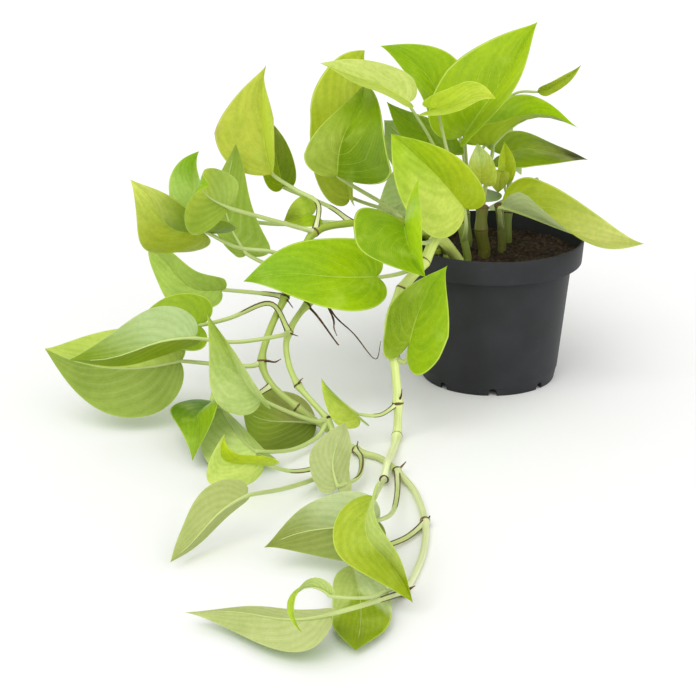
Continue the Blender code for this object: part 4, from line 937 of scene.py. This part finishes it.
def spun(outline, steps, bevels=()):
    shape = newShape()
    verts = [shape.verts.new((radius * mm, 0, height * mm)) for radius, height in outline]
    for pair in zip(verts, verts[1:]):
        shape.edges.new(pair)
    for number, width in bevels:
        bmesh.ops.bevel(shape, geom=[verts[number]], offset=width * mm, offset_type="OFFSET", segments=3,
                        profile=0.5, affect="VERTICES", material=-1)
    bmesh.ops.spin(shape, geom=shape.verts[:] + shape.edges[:], axis=(0, 0, 1), cent=(0, 0, 0),
                   angle=math.tau, steps=steps, use_merge=True)
    bmesh.ops.remove_doubles(shape, verts=shape.verts, dist=1e-6)
    bmesh.ops.recalc_face_normals(shape, faces=shape.faces)
    return shape


# A cutter for the slots or their panels: blocks that stand round the pot's foot, with a round or a
# flat head.
def ringCutter(name, count, width, height, inner, depth, rounded=False):
    half = width / 2
    corners = [(half, height), (-half, height)]
    if rounded:
        turns = [math.pi * step / 10 for step in range(11)]
        corners = [(half * math.cos(turn), height - half + half * math.sin(turn)) for turn in turns]
    shape = bmesh.new()
    for number in range(count):
        angle = math.tau * number / count - math.pi / 2
        out = Vector((math.cos(angle), math.sin(angle), 0))
        side = Vector((-out.y, out.x, 0))
        ring = [shape.verts.new((out * inner + side * x + Vector((0, 0, z))) * mm)
                for x, z in ((-half, -1.0), *reversed(corners), (half, -1.0))]
        pushed = bmesh.ops.extrude_face_region(shape, geom=[shape.faces.new(ring)])
        moved = [item for item in pushed["geom"] if isinstance(item, bmesh.types.BMVert)]
        bmesh.ops.translate(shape, verts=moved, vec=out * depth * mm)
    bmesh.ops.recalc_face_normals(shape, faces=shape.faces)
    return plainObject(shape, name)


def cutOut(piece, cutter):
    modifier = piece.modifiers.new("cut", "BOOLEAN")
    modifier.operation = "DIFFERENCE"
    modifier.object = cutter
    bpy.context.view_layer.update()
    graph = bpy.context.evaluated_depsgraph_get()
    cut = bpy.data.meshes.new_from_object(piece.evaluated_get(graph), depsgraph=graph)
    piece.modifiers.clear()
    piece.data = cut
    bpy.data.objects.remove(cutter)


potLook = {"dark": (0.031, 0.032, 0.034), "light": (0.04, 0.041, 0.046), "dust": (0.12, 0.11, 0.1),
           "dustShare": 0.25, "roughness": 0.38}


def potFinish():
    pot = Finish("mouldedCharcoal", Specular_IOR_Level=0.12)
    cloud = pot.noise(40, 4)
    grain = pot.noise(1400, 2)
    colour = pot.mix(pot.ramped(cloud, 0.3, 0.75), potLook["dark"], potLook["light"])
    dust = pot.ramped(pot.noise(260, 5), 0.58, 0.8) * pot.ramped(pot.noise(18, 2), 0.45, 0.75)
    colour = pot.mix(dust * potLook["dustShare"], colour, potLook["dust"])
    roughness = cloud * 0.12 + grain * 0.08 + potLook["roughness"]
    return pot.paint(colour, roughness, grain * 0.5 + cloud * 0.6, 0.00012, 0.35)


finishes["pot"] = potFinish()


def makePot():
    p = potShape
    foot, wall, floor = p["footRadius"], p["wall"], p["floor"]
    (hubFoot, hubTop), (stepOut, stepUp) = p["hub"], p["step"]
    shoulder = p["height"] - p["rimHeight"]
    ledge = p["rimRadius"] - p["ledge"]
    outline = (
        (0, 0), (hubFoot, 0), (hubTop, floor), (foot - wall - 0.2, floor), (foot - wall, 0), (foot, 0),
        (p["taperRadius"], p["footHeight"]), (p["taperRadius"] + stepOut, p["footHeight"] + stepUp),
        (p["shoulderRadius"], shoulder), (ledge, shoulder), (p["rimRadius"], p["height"]),
        (p["rimRadius"] - wall, p["height"]), (ledge - wall, shoulder + wall),
        (p["shoulderRadius"] - wall, shoulder + 0.6), (foot + p["flare"], floor + wall), (0, floor + wall),
    )
    shape = spun(outline, p["steps"], p["rounding"])
    pot = pieceFrom(shape, "nurseryPot", "pot", "pot_black", ("pot",), p["sharp"])
    cutOut(pot, ringCutter("slots", **p["slots"], rounded=True))
    cutOut(pot, ringCutter("panels", **p["panels"]))
    smoothed(pot, p["sharp"])


makePot()
print("pot made")


soilLook = {"stops": ((0.3, (0.008, 0.005, 0.003)), (0.5, (0.03, 0.018, 0.011)),
                      (0.72, (0.085, 0.055, 0.032)))}


def soilFinish():
    soil = Finish("darkPeat", Specular_IOR_Level=0.2)
    crumb = soil.noise(420, 5)
    fleck = soil.ramped(soil.noise(900, 2), 0.66, 0.72)
    colour = soil.node("ShaderNodeValToRGB", soilLook, {0: crumb})
    colour = soil.mix(fleck * 0.6, colour, (0.2, 0.15, 0.1))
    return soil.paint(colour, crumb * 0.15 + 0.8, crumb, 0.0012, 0.9)


finishes["soil"] = soilFinish()
soilShape = {"bump": 1.1, "crumbs": 1.5, "gap": 0.3, "rings": 46, "steps": 120}


def soilHeight(x, y):
    wide = math.sin(x / 7.3 + 1.1) * math.cos(y / 6.1) + 0.5 * math.sin((x + y) / 4.1)
    fine = noise.fractal(Vector((x, y, 0)) * 0.28, 0.6, 2.1, 5)
    return soilTop + soilShape["bump"] * wide + soilShape["crumbs"] * fine


def makeSoil():
    p, gap = potShape, soilShape["gap"]
    wall = p["wall"]
    bottom = p["floor"] + wall + gap
    edge = p["rimRadius"] - p["ledge"] - wall - gap
    shoulder = p["height"] - p["rimHeight"]
    rings = soilShape["rings"]
    outline = (
        (0, bottom), (p["footRadius"] + 0.2, bottom), (p["shoulderRadius"] - wall - gap, shoulder + 1.2),
        (edge - gap, shoulder + wall + 0.9),
        *((edge * (1 - step / rings), soilTop) for step in range(rings + 1)),
    )
    shape = spun(outline, soilShape["steps"])
    for vert in shape.verts:
        x, y, z = vert.co / mm
        if z > soilTop - gap and math.hypot(x, y) < edge - 0.2:
            vert.co.z = soilHeight(x, y) * mm
    pieceFrom(shape, "pottingSoil", "soil", "soil_brown", ("soil",), 60)


makeSoil()
print("soil made")

# Plain floor, soft light and the camera. A lamp's values are its strength, its spread and its turn.
studio = {"floor": (0.93, 0.93, 0.92), "sky": 0.78,
          "lamps": {"key": (1.15, 45, (38, 0, -28)), "fill": (0.5, 50, (60, 0, 30))}}


def makeStudio():
    shape = bmesh.new()
    bmesh.ops.create_grid(shape, x_segments=4, y_segments=4, size=30)
    floor = plainObject(shape, "floor")
    white = Finish("floorWhite", Roughness=0.9, Specular_IOR_Level=0.1, Base_Color=(*studio["floor"], 1))
    floor.data.materials.append(white.material)
    floor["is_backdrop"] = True
    world = bpy.data.worlds.new("softSky")
    world.use_nodes = True
    world.node_tree.nodes["Background"].inputs["Color"].default_value = (1, 1, 1, 1)
    world.node_tree.nodes["Background"].inputs["Strength"].default_value = studio["sky"]
    bpy.context.scene.world = world
    for name, (strength, spread, turn) in studio["lamps"].items():
        lamp = bpy.data.lights.new(name, "SUN")
        lamp.energy = strength
        lamp.angle = math.radians(spread)
        placeInScene(name, lamp).rotation_euler = [math.radians(angle) for angle in turn]


def makeCamera():
    lens = bpy.data.cameras.new("camera")
    lens.sensor_width = view["sensor"]
    lens.lens = view["sensor"] * view["focal"] / view["size"]
    lens.clip_end = 100
    camera = placeInScene("camera", lens)
    camera.location = eye * mm
    camera.rotation_euler = (math.pi / 2 - tilt, 0, 0)
    bpy.context.scene.camera = camera
    bpy.context.scene.view_settings.view_transform = "Standard"


makeStudio()
makeCamera()

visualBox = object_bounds()
boxes = {"cad": [list(corner) for corner in cadBox], "visual": [list(corner) for corner in visualBox]}
print("sizes kept")
